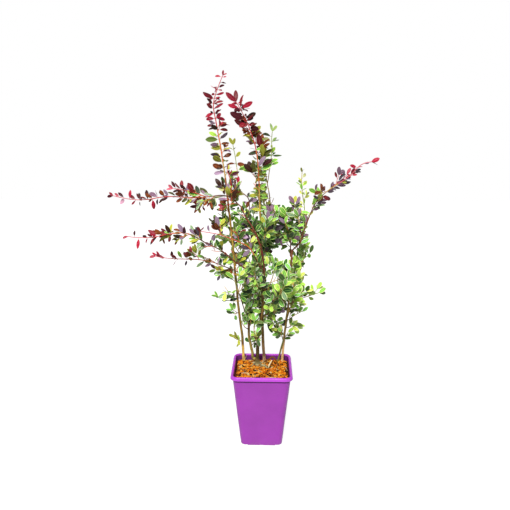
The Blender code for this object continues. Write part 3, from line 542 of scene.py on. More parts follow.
# Each limb: parent limb or None, fraction along it, radius at its ends in mm,
# flare in mm, sides, and its route in mm
LIMBS = {
    "stem_left": (None, 0.0, 3.3, 2.2, 1.2, 16, [
        (-47.5, 52, 177.3), (-52, 52, 249), (-60, 52, 321), (-71, 50, 454), (-81, 48, 562),
        (-90, 46, 649)]),
    "stem_centre": (None, 0.0, 4.0, 2.0, 0.8, 18, [
        (6, 54, 177.3), (2, 55, 234), (0, 54, 342), (2, 50, 409), (-3, 46, 498), (-7, 42, 590)]),
    "stem_crown": (None, 0.0, 4.6, 2.2, 8.0, 22, [
        (-13, 31, 177.3), (-12, 30, 195), (-11, 28, 232), (-8, 24, 279), (2, 16, 334), (6, 10, 387),
        (4, 4, 443)]),
    "stem_crown_left": ("stem_crown", 0.075, 3.5, 2.1, 0.0, 16, [
        (-25, 34, 209), (-33, 30, 255), (-33, 22, 324), (-33, 12, 381), (-39, 2, 438)]),
    "stem_right": (None, 0.0, 3.2, 2.2, 1.2, 16, [
        (51, 53, 177.3), (57, 50, 253), (66, 42, 343), (68, 34, 411), (72, 26, 478)]),
    "stem_right_thin": (None, 0.0, 2.2, 1.3, 0.6, 12, [
        (39, 53, 177.3), (53, 40, 240), (60, 26, 294), (71, 12, 343)]),
    "bough_arm_top": ("stem_crown", 1.0, 2.1, 1.5, 0.0, 12, [
        (-5, 0, 495), (-22, -4, 536), (-38, -6, 561), (-50, -6, 588)]),
    "bough_arm_mid": ("stem_crown_left", 1.0, 1.7, 1.2, 0.0, 12, [
        (-62, -12, 455), (-94, -30, 487), (-126, -40, 505)]),
    "bough_arm_low": ("stem_crown_left", 0.86, 1.4, 1.2, 0.0, 12, [
        (-51, -2, 425), (-67, -8, 436)]),
    "bough_right_arm": ("stem_right", 1.0, 1.9, 1.3, 0.0, 12, [
        (92, 18, 502), (97, 14, 524), (109, 8, 558)]),
    "bough_right_inner": ("stem_right", 0.94, 1.6, 1.3, 0.0, 12, [
        (68, 36, 500), (57, 50, 540), (40, 60, 557), (20, 68, 575)]),
    "bough_back_left": ("stem_centre", 0.42, 1.6, 1.2, 0.0, 12, [
        (-22, 84, 382), (-46, 108, 425)]),
    "bough_back_right": ("stem_right", 0.62, 1.6, 1.2, 0.0, 12, [
        (80, 76, 398), (88, 108, 440)]),
    "bough_back_top": ("stem_centre", 0.66, 1.5, 1.2, 0.0, 12, [
        (10, 82, 486), (14, 112, 532)]),
    "bough_front_left": ("stem_crown_left", 0.50, 1.5, 1.2, 0.0, 12, [
        (-42, -10, 336), (-48, -38, 372)]),
    "bough_front_right": ("stem_crown", 0.52, 1.5, 1.2, 0.0, 12, [
        (20, -10, 336), (32, -38, 368)]),
}

# Each mass: limb, fraction along it, stem radius in mm, leaf length in mm, node
# spacing in mm, side twig length in mm, nodes between side twigs, leaves a node,
# palette, twig style, stem route in mm up to the tip of its end leaf, and long
# forks, each as a fraction along the stem and a route
MASSES = {
    "leader_left": ("stem_left", 1.0, 1.5, 28, 18, 18, 3, 2, "leader", "leader", [
        (-98, 48, 708), (-110, 50, 779), (-116, 52, 817), (-106, 52, 853), (-88, 50, 893)], []),
    "leader_centre": ("stem_centre", 1.0, 1.5, 32, 18, 24, 1, 2, "leader_mid", "leader", [
        (-11, 38, 680), (-20, 34, 733), (-40, 28, 784), (-63, 22, 826), (-72, 18, 850)], []),
    "leader_right": ("bough_right_inner", 1.0, 1.2, 25, 19, 16, 4, 2, "leader_green", "core", [
        (13, 70, 624), (4, 72, 665), (-7, 72, 705)], [
        (0.52, [(20, 78, 698), (21, 82, 738), (24, 84, 778)])]),
    "shoot_tall": ("bough_arm_top", 0.80, 1.0, 25, 22, 14, 4, 2, "tall", "core", [
        (-32, 4, 603), (-52, 10, 623), (-57, 14, 651), (-61, 16, 684), (-72, 16, 744)], []),
    "arm_left_upper": ("bough_arm_top", 1.0, 1.3, 28, 19, 26, 2, 2, "arm", "arm", [
        (-80, 0, 609), (-152, 12, 605), (-227, 24, 606), (-299, 34, 597), (-377, 40, 609)], [
        (0.03, [(-76, -10, 592), (-104, -14, 584)]),
        (0.10, [(-72, -12, 640), (-84, -18, 684)]),
        (0.28, [(-168, 2, 620), (-222, -6, 630)])]),
    "arm_left_middle": ("bough_arm_mid", 1.0, 1.2, 28, 18, 26, 2, 2, "arm", "arm", [
        (-171, -52, 531), (-213, -60, 529), (-256, -64, 522), (-315, -60, 526)], []),
    "spray_left": ("stem_crown", 0.97, 1.1, 28, 18, 36, 2, 2, "arm_base", "arm", [
        (-30, -12, 490), (-57, -16, 506), (-110, -20, 525), (-160, -24, 532)], []),
    "arm_left_low": ("bough_arm_low", 1.0, 1.2, 28, 18, 30, 2, 2, "arm_low", "arm", [
        (-132, 6, 454), (-185, 16, 456), (-233, 24, 456), (-277, 28, 462)], []),
    "twig_low_left": ("stem_crown", 0.57, 0.9, 21, 23, 14, 3, 1, "twig", "core", [
        (-38, -8, 357), (-81, -24, 365), (-117, -34, 385)], []),
    "twig_foot_left": ("stem_left", 0.13, 0.8, 22, 10, 0, 9, 1, "foot", "pale", [
        (-67, 44, 243), (-87, 36, 257)], []),
    "tuft_left": ("stem_left", 0.29, 0.9, 28, 12, 8, 3, 1, "low", "core", [
        (-72, 40, 309), (-84, 34, 326)], []),
    "arm_right": ("bough_right_arm", 1.0, 1.0, 28, 18, 22, 3, 2, "arm_right", "arm_right", [
        (121, 0, 590), (146, -12, 621), (194, -30, 657), (219, -40, 684), (257, -46, 692)], [
        (0.40, [(184, -6, 652), (206, 2, 670)])]),
    "shoulder_right": ("bough_right_arm", 0.50, 1.1, 31, 14, 22, 2, 2, "shoulder", "core", [
        (86, 30, 552), (77, 34, 582), (70, 32, 610)], []),
    "shoulder_pale": ("bough_right_arm", 0.85, 1.0, 20, 17, 14, 3, 2, "pale", "pale", [
        (98, 24, 590), (92, 34, 636), (94, 36, 675)], []),
    "shoulder_inner": ("bough_right_inner", 0.28, 1.1, 31, 14, 28, 2, 2, "shoulder", "core", [
        (58, 20, 545), (50, 8, 585)], [
        (0.04, [(52, 12, 522), (42, 6, 504), (34, 2, 494)])]),
    "column_right": ("stem_right", 0.66, 1.2, 31, 14, 30, 2, 2, "bright", "core", [
        (88, 44, 402), (102, 48, 452), (108, 46, 500)], []),
    "arm_low_right": ("stem_right", 0.545, 1.1, 28, 15, 26, 2, 2, "bright", "core", [
        (93, 32, 352), (122, 24, 366), (157, 18, 379)], []),
    "tuft_low_right": ("stem_right", 0.40, 1.0, 28, 13, 24, 2, 2, "bright", "core", [
        (80, 40, 306), (98, 36, 318), (118, 30, 324)], []),
    "twig_foot_right": ("stem_right", 0.33, 0.9, 28, 14, 16, 3, 2, "bright", "core", [
        (76, 46, 278), (107, 38, 276)], []),
    "core_bridge": ("stem_right", 0.80, 1.0, 31, 13, 24, 2, 2, "core", "core", [
        (50, 26, 432), (22, 30, 442)], []),
    "core_thin_tip": ("stem_right_thin", 1.0, 1.1, 31, 14, 28, 2, 2, "bright", "core", [
        (76, 0, 372), (74, -8, 412), (62, -12, 456)], []),
    "core_upper_left": ("stem_left", 0.70, 1.1, 31, 13, 30, 2, 2, "core_top", "core", [
        (-64, 36, 520), (-42, 26, 562)], []),
    "core_upper": ("stem_centre", 0.72, 1.2, 31, 13, 32, 2, 2, "core_top", "core", [
        (14, 34, 505), (24, 22, 540), (16, 14, 590)], []),
    "core_upper_front": ("bough_arm_top", 0.34, 1.1, 31, 13, 28, 2, 2, "core_top", "core", [
        (8, -18, 528), (14, -30, 572)], []),
    "core_upper_back": ("stem_centre", 0.78, 1.1, 31, 13, 28, 2, 2, "core_top", "core", [
        (-24, 66, 530), (-38, 78, 574)], []),
    "core_mid_left": ("stem_crown_left", 0.66, 1.2, 31, 13, 32, 2, 2, "core", "core", [
        (-54, 26, 362), (-66, 22, 396), (-70, 20, 446)], []),
    "core_mid_back": ("stem_centre", 0.50, 1.1, 31, 13, 28, 2, 2, "core", "core", [
        (-26, 62, 420), (-40, 72, 468)], []),
    "core_centre": ("stem_crown", 0.80, 1.1, 31, 13, 30, 2, 2, "core", "core", [
        (-8, -12, 392), (-16, -22, 424), (-20, -26, 475)], []),
    "core_low": ("stem_centre", 0.27, 1.2, 31, 13, 30, 2, 2, "low", "core", [
        (20, 44, 294), (34, 34, 322), (38, 26, 360)], []),
    "core_low_front": ("stem_crown", 0.26, 1.1, 31, 12, 22, 2, 2, "bright", "core", [
        (-16, 10, 256), (-20, -4, 290), (-16, -12, 330)], [
        (0.12, [(0, 6, 262), (14, 0, 272)])]),
    "core_low_left": ("stem_crown_left", 0.36, 1.0, 31, 12, 24, 2, 2, "low", "core", [
        (-46, 8, 292), (-58, 0, 326)], []),
    "core_mid_front": ("stem_crown", 0.70, 1.1, 31, 13, 28, 2, 2, "core", "core", [
        (16, -14, 396), (26, -26, 428), (30, -32, 476)], []),
    "core_mid_right": ("stem_right", 0.53, 1.1, 31, 13, 28, 2, 2, "core", "core", [
        (46, 26, 372), (38, 16, 402), (40, 10, 440)], []),
    "core_low_right": ("stem_right", 0.22, 1.0, 31, 13, 24, 2, 2, "bright", "core", [
        (48, 32, 264), (40, 22, 292), (38, 14, 326)], []),
    "back_left": ("bough_back_left", 1.0, 1.2, 31, 16, 34, 2, 2, "back", "core", [
        (-76, 140, 470), (-98, 158, 526)], []),
    "back_right": ("bough_back_right", 1.0, 1.2, 31, 16, 34, 2, 2, "back", "core", [
        (100, 142, 484), (112, 168, 542)], []),
    "back_top": ("bough_back_top", 1.0, 1.2, 31, 16, 34, 2, 2, "back", "core", [
        (8, 148, 578), (2, 170, 632)], []),
    "back_low": ("stem_centre", 0.33, 1.1, 31, 13, 30, 2, 2, "low", "core", [
        (10, 88, 330), (22, 116, 366)], []),
    "front_left": ("bough_front_left", 1.0, 1.2, 31, 16, 32, 2, 2, "core", "core", [
        (-55, -78, 410), (-60, -114, 446)], []),
    "front_right": ("bough_front_right", 1.0, 1.2, 31, 16, 32, 2, 2, "low", "core", [
        (44, -76, 402), (58, -108, 436)], []),
}

# Leaves that grow straight on a limb: the mass that they belong to, the share of the
# limb where they start, leaf length, node spacing and side twig length in mm, nodes
# between side twigs, leaves a node, and habit
LEAFY_LIMBS = {
    "stem_left": ("leader_left", 0.52, 26, 16, 34, 2, 2, "arm_base"),
    "stem_centre": ("core_upper", 0.45, 27, 26, 20, 4, 1, "core_top"),
    "stem_crown": ("core_centre", 0.17, 27, 14, 20, 3, 1, "low"),
    "stem_crown_left": ("core_mid_left", 0.14, 27, 15, 20, 3, 1, "low"),
    "stem_right": ("column_right", 0.45, 28, 13, 18, 3, 1, "bright"),
    "bough_arm_top": ("arm_left_upper", 0.15, 28, 15, 24, 3, 2, "core_top"),
    "bough_arm_mid": ("arm_left_middle", 0.12, 27, 13, 34, 2, 2, "arm_base"),
    "bough_arm_low": ("arm_left_low", 0.20, 27, 13, 28, 2, 2, "arm_base"),
    "bough_right_arm": ("arm_right", 0.15, 27, 17, 20, 3, 2, "shoulder"),
    "bough_right_inner": ("shoulder_inner", 0.15, 28, 15, 24, 3, 2, "core_top"),
    "bough_back_left": ("back_left", 0.20, 28, 16, 26, 3, 2, "back"),
    "bough_back_right": ("back_right", 0.20, 28, 16, 26, 3, 2, "back"),
    "bough_back_top": ("back_top", 0.20, 28, 16, 26, 3, 2, "back"),
    "bough_front_left": ("front_left", 0.25, 28, 16, 24, 3, 2, "core"),
    "bough_front_right": ("front_right", 0.25, 28, 16, 24, 3, 2, "core"),
}

# Dry straws on the mix: colour slot, radius and route in mm; the first two make a
# pale stalk under a brown arch
STRAWS = [
    (2, 1.9, [(16, 8, 177), (17.5, 9, 184), (22, 13, 192), (25, 15, 197)]),
    (3, 2.0, [(4, 24, 186), (10, 22, 192), (19, 20, 198), (27, 19, 203.5), (31, 18, 201), (37, 17, 192),
              (43, 15, 183)]),
    (3, 1.3, [(10, 22, 192), (15, 20, 189), (22, 18, 186), (32, 16, 180)]),
    (2, 0.7, [(-2, 52, 178), (2, 44, 180.5), (4, 36, 178.2)]),
    (2, 0.45, [(-46, 58, 178), (-43, 60, 184), (-41, 61, 190)]),
    (2, 0.7, [(-52, -22, 178), (-40, -26, 181), (-26, -24, 178.4)]),
    (2, 0.55, [(52, 20, 178.4), (60, 8, 180), (63, -6, 178)]),
    (2, 0.6, [(10, -44, 178.2), (24, -48, 180.6), (36, -44, 178)]),
    (3, 0.55, [(-20, 4, 178.4), (-10, -2, 181.5), (2, -4, 178.6)]),
    (2, 0.5, [(-60, 30, 178), (-54, 16, 180), (-56, 2, 178)]),
]

# Knobs at the foot of the crown: radius and place in mm
KNOBS = [
    (4.6, (-15, 24, 180)), (3.8, (-8, 22, 180)), (3.4, (-19, 29, 182)), (3.0, (-3, 17, 178.5)),
    (2.8, (4, 12, 178)), (2.4, (10, 15, 178)), (3.2, (-11, 17, 177.5)), (2.2, (17, 9, 177.5)),
    (2.6, (-22, 24, 178)), (2.0, (13, 5, 177)), (2.6, (-14, 33, 186)),
]

# Roots that show at the crown: radius at their start and route, in mm
ROOTS = [
    (3.4, [(-13, 31, 183), (-4, 23, 181.5), (7, 13, 180.5), (17, 5, 178.5), (26, 0, 175)]),
    (2.6, [(-13, 30, 183), (-11, 18, 180.5), (-5, 8, 176)]),
    (2.6, [(-14, 30, 184), (-22, 22, 180.5), (-30, 14, 176)]),
    (2.0, [(-15, 32, 183), (-25, 36, 180), (-34, 38, 176)]),
    (2.0, [(-11, 32, 183), (-2, 36, 180.5), (8, 36, 176)]),
    (1.6, [(2, 18, 181), (8, 20, 181), (15, 18, 177)]),
]

# Sky that shows through the crown in the photograph: the middle of each gap and half
# its width and height, in pixels
SKY_WINDOWS = [
    (273, 279, 6.5, 5), (278.5, 254, 4.5, 4), (227, 249, 4, 6), (226, 231, 3, 4), (240, 288, 2.5, 4),
    (242, 307, 2.5, 4.5), (245, 331, 2.5, 5), (253, 327, 3, 3), (246, 347, 2.5, 5), (273, 345, 8, 8),
    (248, 182, 7, 9), (274, 190, 7, 14), (276, 176, 9, 10), (308, 206, 5, 5), (214, 232, 4, 2),
    (206, 239, 5, 3), (237, 249, 3, 3), (250, 260, 2, 3), (256, 277, 3, 2), (211, 252, 9, 6),
    (220, 345, 17, 9), (218, 322, 15, 8), (226, 285, 10, 6), (318, 262, 8, 14), (318, 228, 10, 12),
    (316, 312, 8, 6), (308, 345, 18, 12),
]

# Limbs that stay in sight: the shares between which no leaf hides them, and how many
# pixels are kept free beside their middle
SHOWN_LIMBS = {
    "stem_left": (0.0, 0.90, 1.8),
    "stem_centre": (0.0, 0.46, 0.9),
    "stem_crown_left": (0.10, 0.40, 1.1),
    "stem_right": (0.0, 0.55, 1.3),
    "bough_arm_top": (0.05, 1.0, 1.1),
    "bough_right_arm": (0.1, 1.0, 1.1),
}


# Small helpers

def linear(colour):
    """Linear red, green and blue of a colour given as bytes of sRGB."""
    result = []
    for value in colour:
        share = value / 255
        result.append(share / 12.92 if share <= 0.04045 else ((share + 0.055) / 1.055) ** 2.4)
    return tuple(result)


def millimetres(point):
    return Vector(point) * MM


def mix(a, b, share):
    return a + (b - a) * share


def level_heading(angle):
    return Vector((math.cos(angle), math.sin(angle), 0.0))


def any_angle(chance):
    return chance.uniform(0.0, 2 * math.pi)


def random_vector(chance, low, high):
    return Vector((chance.uniform(low, high), chance.uniform(low, high), chance.uniform(low, high)))


def rough_noise(point, scales):
    """Noise of two sizes together."""
    coarse = noise.noise(point * scales[0])
    fine = noise.noise(point * scales[1])
    return coarse * NOISE_SHARES[0] + fine * NOISE_SHARES[1]


def mixture_weights(mixture):
    """How common each colour is in a mixture such as "green 4, lime 3"."""
    weights = {}
    for entry in mixture.split(", "):
        name, weight = entry.split()
        weights[name] = int(weight)
    return weights


def add_object(name, data):
    obj = bpy.data.objects.new(name, data)
    bpy.context.scene.collection.objects.link(obj)
    return obj


def along_stops(stops, share):
    """The stop below a share of the way, the one above, and the part between."""
    for lower, upper in zip(stops, stops[1:]):
        if share < upper[0]:
            return lower[1], upper[1], max(0.0, (share - lower[0]) / (upper[0] - lower[0]))
    return stops[-1][1], stops[-1][1], 0.0


def spline(points, step):
    """Centripetal Catmull-Rom curve through points, in even steps."""
    first = points[0] * 2 - points[1]
    last = points[-1] * 2 - points[-2]
    padded = [first, *points, last]
    dense = []
    for a, b, c, d in zip(padded, padded[1:], padded[2:], padded[3:]):
        t1 = math.sqrt((b - a).length)
        t2 = t1 + math.sqrt((c - b).length)
        t3 = t2 + math.sqrt((d - c).length)
        for i in range(SPLINE_PARTS):
            t = t1 + (t2 - t1) * i / SPLINE_PARTS
            p = a * ((t1 - t) / t1) + b * (t / t1)
            q = b * ((t2 - t) / (t2 - t1)) + c * ((t - t1) / (t2 - t1))
            r = c * ((t3 - t) / (t3 - t2)) + d * ((t - t2) / (t3 - t2))
            u = p * ((t2 - t) / t2) + q * (t / t2)
            v = q * ((t3 - t) / (t3 - t1)) + r * ((t - t1) / (t3 - t1))
            dense.append(u * ((t2 - t) / (t2 - t1)) + v * ((t - t1) / (t2 - t1)))
    dense.append(points[-1].copy())
    return even_steps(dense, path_length(dense), step)


def path_length(path):
    return sum((b - a).length for a, b in zip(path, path[1:]))


def even_steps(path, length, step):
    """Points in even steps over the first part of a path, of the given length."""
    count = max(2, round(length / step))
    result = []
    travelled = 0.0
    index = 0
    for i in range(count + 1):
        distance = length * i / count
        span = (path[index + 1] - path[index]).length
        while travelled + span < distance and index < len(path) - 2:
            travelled += span
            index += 1
            span = (path[index + 1] - path[index]).length
        share = min(1.0, max(0.0, (distance - travelled) / span))
        result.append(path[index].lerp(path[index + 1], share))
    return result


def tangents(path):
    result = []
    for i in range(len(path)):
        ahead = path[min(i + 1, len(path) - 1)]
        behind = path[max(i - 1, 0)]
        result.append((ahead - behind).normalized())
    return result


def seen_at(point):
    """Where the photograph shows a point, in pixels, and how far off it is."""
    turn = Euler((CAMERA_TILT, 0.0, CAMERA_TURN)).to_matrix()
    local = turn.transposed() @ (point - Vector(CAMERA_PLACE))
    scale = FOCAL_PIXELS / -local.z
    middle = PHOTO_WIDTH / 2
    return middle + local.x * scale, middle - local.y * scale, -local.z


class Shoot:
    """A tapering stem, bough or twig, and where other pieces grow from it."""

    def __init__(self, route, radius_start, radius_end, step, flare=0.0, end_leaf=0.0):
        path = spline(route, step)
        if end_leaf > 0.0:
            path = even_steps(path, path_length(path) - end_leaf, step)
        self.path = [path[0]]
        self.marks = [0.0]
        travelled = 0.0
        for before, point in zip(path, path[1:]):
            travelled += (point - before).length
            self.path.append(point + sway(point) * min(1.0, travelled / WANDER_FROM))
            self.marks.append(travelled)
        self.length = travelled
        self.radii = []
        for mark in self.marks:
            near_foot = max(0.0, 1.0 - mark / FLARE_HEIGHT)
            radius = mix(radius_start, radius_end, mark / travelled)
            self.radii.append(radius + flare * near_foot ** 2)
        self.nodes = []

    def at(self, share):
        """Point, tangent and radius at a share of the shoot's length."""
        distance = share * self.length
        index = min(len(self.path) - 2, int(share * (len(self.path) - 1)))
        while index > 0 and self.marks[index] > distance:
            index -= 1
        while index < len(self.path) - 2 and self.marks[index + 1] < distance:
            index += 1
        a = self.path[index]
        b = self.path[index + 1]
        part = (distance - self.marks[index]) / (self.marks[index + 1] - self.marks[index])
        part = min(1.0, max(0.0, part))
        radius = mix(self.radii[index], self.radii[index + 1], part)
        return a.lerp(b, part), (b - a).normalized(), radius

    def swollen_radii(self):
        """Radii with a small swelling at each node."""
        result = []
        for mark, radius in zip(self.marks, self.radii):
            swell = 0.0
            for node in self.nodes:
                near = 1.0 - abs(mark - node) / NODE_SWELL_REACH
                if near > 0.0:
                    swell = max(swell, near)
            result.append(radius + swell * NODE_SWELL)
        return result


def sway(point):
    return noise.noise_vector(point * WANDER_SCALE) * WANDER


def grow_from(carrier, share, target, radius):
    """First points of a piece that grows out of another shoot."""
    point, tangent, carrier_radius = carrier.at(share)
    if share >= 1.0:
        return [point - tangent * JOIN_DEPTH]
    outward = target - point
    outward = (outward - tangent * outward.dot(tangent)).normalized()
    root = point + outward * max(0.0, carrier_radius - JOIN_DEPTH)
    lead_reach = carrier_radius + GAP + radius * LEAD_RADII + LEAD_OUT
    return [root, point + outward * lead_reach + tangent * radius * LEAD_RISE]


def rings_along(path, radii, sides, relief=None):
    """Rings of points square to a path, with a relief for each place, angle and index."""
    directions = tangents(path)
    side = directions[0].orthogonal().normalized()
    rings = []
    for index, (point, direction, radius) in enumerate(zip(path, directions, radii)):
        side = (side - direction * side.dot(direction)).normalized()
        across = direction.cross(side)
        ring = []
        for i in range(sides):
            angle = 2 * math.pi * i / sides
            outward = side * math.cos(angle) + across * math.sin(angle)
            rise = relief(point + outward * radius, angle, index) if relief else 0.0
            ring.append(point + outward * (radius + rise))
        rings.append(ring)
    return rings


class MeshParts:
    """Points and faces gathered for one joined piece, with a material for each face."""

    def __init__(self):
        self.points = []
        self.faces = []
        self.slots = []

    def add_face(self, corners, slot):
        self.faces.append(corners)
        self.slots.append(slot)

    def add_rings(self, rings, ring_slots):
        """Skin a tube with closed ends over rings of equal count."""
        first = len(self.points)
        count = len(rings[0])
        for ring in rings:
            self.points.extend(ring)
        for level in range(len(rings) - 1):
            low = first + level * count
            high = low + count
            for i in range(count):
                j = (i + 1) % count
                self.add_face((low + i, low + j, high + j, high + i), ring_slots[level])
        last = first + (len(rings) - 1) * count
        self.add_face(tuple(range(first + count - 1, first - 1, -1)), ring_slots[0])
        self.add_face(tuple(range(last, last + count)), ring_slots[-1])

    def add_tube(self, path, radii, sides, ring_slots):
        self.add_rings(rings_along(path, radii, sides), ring_slots)

    def make(self, name, materials, crease_angle):
        mesh = bpy.data.meshes.new(name)
        mesh.from_pydata([tuple(point) for point in self.points], [], self.faces)
        for material in materials:
            mesh.materials.append(material)
        mesh.polygons.foreach_set("material_index", self.slots)
        mesh.shade_smooth()
        mesh.set_sharp_from_angle(angle=crease_angle)
        mesh.update()
        return add_object(name, mesh)


def settle(piece, slot, *nodes):
    """Fix a piece to the plant's one body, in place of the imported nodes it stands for."""
    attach(piece, "root")
    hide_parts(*nodes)


# Materials

class Nodes:
    """Short way to add nodes and links to a new material."""

    def __init__(self, name, roughness, specular=0.5):
        self.material = bpy.data.materials.new(name)
        self.material.use_nodes = True
        self.tree = self.material.node_tree
        self.shader = self.tree.nodes["Principled BSDF"]
        self.shader.inputs["Roughness"].default_value = roughness
        self.shader.inputs["Specular IOR Level"].default_value = specular

    def add(self, kind, **values):
        """A new node, with values for its settings and for its inputs by name."""
        node = self.tree.nodes.new(kind)
        for key, value in values.items():
            if hasattr(node, key):
                setattr(node, key, value)
            else:
                node.inputs[key.replace("_", " ")].default_value = value
        return node

    def link(self, source, target):
        self.tree.links.new(source, target)

    def place(self, scale=(1.0, 1.0, 1.0)):
        """Object coordinates, stretched."""
        texture = self.add("ShaderNodeTexCoord")
        mapping = self.add("ShaderNodeMapping", Scale=scale)
        self.link(texture.outputs["Object"], mapping.inputs["Vector"])
        return mapping.outputs["Vector"]

    def height(self, low, high, to=(0.0, 1.0)):
        """The height of a place on the object, from one level to another."""
        texture = self.add("ShaderNodeTexCoord")
        split = self.add("ShaderNodeSeparateXYZ")
        self.link(texture.outputs["Object"], split.inputs["Vector"])
        return self.range(split.outputs["Z"], to, (low, high))

    def noise(self, vector, scale, detail=3.0, roughness=0.5, distortion=0.0):
        node = self.add("ShaderNodeTexNoise", Scale=scale, Detail=detail, Roughness=roughness,
                        Distortion=distortion)
        self.link(vector, node.inputs["Vector"])
        return node.outputs["Fac"]

    def range(self, value, to, between=NOISE_SPAN):
        """Stretch what lies between two values to two others, and keep it inside them."""
        node = self.add("ShaderNodeMapRange", From_Min=between[0], From_Max=between[1],
                        To_Min=to[0], To_Max=to[1])
        self.link(value, node.inputs["Value"])
        return node.outputs["Result"]

    def ramp(self, value, stops):
        node = self.add("ShaderNodeValToRGB")
        band = node.color_ramp
        while len(band.elements) > 1:
            band.elements.remove(band.elements[-1])
        for index, (place, colour) in enumerate(stops):
            element = band.elements[0] if index == 0 else band.elements.new(place)
            element.position = place
            element.color = (*colour, 1.0)
        self.link(value, node.inputs["Fac"])
        return node.outputs["Color"]

    def blend(self, share, first, second):
        """Mix two colours; each is an output or a plain linear colour."""
        node = self.add("ShaderNodeMix", data_type="RGBA")
        self.feed(share, node.inputs[0])
        self.feed(first, node.inputs[6])
        self.feed(second, node.inputs[7])
        return node.outputs[2]

    def feed(self, value, socket):
        if isinstance(value, bpy.types.NodeSocket):
            self.link(value, socket)
        elif isinstance(value, tuple):
            socket.default_value = (*value, 1.0)
        else:
            socket.default_value = value

    def bump(self, height, strength, distance, under=None):
        node = self.add("ShaderNodeBump", Strength=strength, Distance=distance)
        self.link(height, node.inputs["Height"])
        if under is not None:
            self.link(under, node.inputs["Normal"])
        return node.outputs["Normal"]

    def colour(self, value):
        self.feed(value, self.shader.inputs["Base Color"])

    def roughness(self, value):
        self.feed(value, self.shader.inputs["Roughness"])

    def normal(self, value):
        self.link(value, self.shader.inputs["Normal"])


def around(gloss):
    """The roughness of a surface that is duller in some patches than in others."""
    return gloss - GLOSS_LESS, gloss + GLOSS_MORE


def scaled(colour, share, lift=0.0):
    return tuple(min(1.0, value * share + lift) for value in colour)


def leaf_material(name, colour, gloss):
    """A plain colour, with sheen patches and fine relief like a leaf's skin."""
    nodes = Nodes(name, gloss, specular=0.22)
    nodes.colour(linear(colour))
    place = nodes.place()
    patches = nodes.noise(place, scale=420.0, detail=2.0)
    nodes.roughness(nodes.range(patches, to=around(gloss)))
    skin = nodes.noise(place, scale=1700.0, detail=2.0, roughness=0.6)
    nodes.normal(nodes.bump(skin, strength=0.25, distance=0.0003))
    return nodes.material


def twig_material(name, colour):
    """A plain colour with lengthwise wrinkles and a faint shine."""
    nodes = Nodes(name, 0.55)
    nodes.colour(linear(colour))
    place = nodes.place((1.0, 1.0, 0.25))
    nodes.roughness(nodes.range(nodes.noise(place, scale=300.0), to=(0.42, 0.68)))
    wrinkles = nodes.noise(place, scale=1400.0, roughness=0.6)
    nodes.normal(nodes.bump(wrinkles, strength=0.35, distance=0.0004))
    return nodes.material


def bark_material(name, stops, painted_shadow, blotch=BARK_BLOTCH):
    """Bark whose colour changes with height, in bands that on the stems and roots are partly painted
    light, with streaks, patches of painted shadow, lenticels and relief.
    """
    nodes = Nodes(name, 0.72, specular=0.20)
    low = stops[0][0]
    high = stops[-1][0]
    height = nodes.height(low, high)
    base = nodes.ramp(height, [((z - low) / (high - low), linear(colour)) for z, colour in stops])
    long_place = nodes.place((1.0, 1.0, 0.16))
    streaks = nodes.noise(long_place, scale=420.0, detail=4.0, roughness=0.62, distortion=0.4)
    dark = nodes.range(streaks, to=(0.0, 0.40), between=(0.48, 0.68))
    streaked = nodes.blend(dark, base, STREAK_BROWN)
    # Patches of painted shadow along the limb
    shadow_patches = nodes.noise(nodes.place((1.0, 1.0, 0.30)), scale=150.0, roughness=0.6)
    shadow_share = nodes.range(shadow_patches, to=(0.0, painted_shadow), between=(0.49, 0.60))
    shaded = nodes.blend(shadow_share, streaked, PAINTED_SHADOW_BROWN)
    patches = nodes.noise(nodes.place((1.0, 1.0, 0.5)), scale=95.0, roughness=0.6)
    light = nodes.range(patches, to=(0.0, blotch), between=(0.52, 0.72))
    coloured = nodes.blend(light, shaded, BLOTCH_TAN)
    specks = nodes.noise(nodes.place((1.0, 1.0, 1.6)), scale=900.0, detail=1.0, roughness=0.4)
    spots = nodes.range(specks, to=(0.0, 0.5), between=(0.66, 0.74))
    nodes.colour(nodes.blend(spots, coloured, LENTICEL_TAN))
    nodes.roughness(nodes.range(streaks, to=(0.58, 0.86)))
    coarse = nodes.bump(streaks, strength=0.75, distance=0.0009)
    nodes.normal(nodes.bump(specks, strength=0.35, distance=0.0004, under=coarse))
    return nodes.material


def pot_material(name, colour, gloss):
    """Moulded plastic: faint clouding, fine orange peel, scuffs and a little dust."""
    nodes = Nodes(name, gloss, specular=0.32)
    place = nodes.place()
    purple = linear(colour)
    clouds = nodes.noise(place, scale=16.0, roughness=0.55)
    tint = nodes.ramp(clouds, [(0.30, scaled(purple, 0.92)), (0.72, scaled(purple, 1.08))])
    scuffs = nodes.noise(nodes.place((0.10, 0.10, 1.0)), scale=700.0, roughness=0.65)
    scuffed = nodes.range(scuffs, to=(0.0, 0.30), between=(0.62, 0.74))
    worn = nodes.blend(scuffed, tint, scaled(purple, 1.4, lift=0.04))
    low = nodes.height(0.0, DUST_HEIGHT, to=(1.0, 0.0))
    dust = nodes.noise(place, scale=240.0, detail=4.0, roughness=0.7)
    dusty = nodes.add("ShaderNodeMath", operation="MULTIPLY")
    nodes.link(low, dusty.inputs[0])
    nodes.link(nodes.range(dust, to=(0.0, 0.35), between=(0.50, 0.72)), dusty.inputs[1])
    nodes.colour(nodes.blend(dusty.outputs[0], worn, DUST_BROWN))
    dull = nodes.noise(place, scale=55.0, detail=4.0, roughness=0.6)
    nodes.roughness(nodes.range(dull, to=around(gloss)))
    peel = nodes.noise(place, scale=1500.0, detail=2.0)
    ripple = nodes.bump(clouds, strength=0.12, distance=0.002)
    nodes.normal(nodes.bump(peel, strength=0.10, distance=0.0002, under=ripple))
    nodes.shader.inputs["Coat Weight"].default_value = 0.05
    nodes.shader.inputs["Coat Roughness"].default_value = 0.25
    return nodes.material


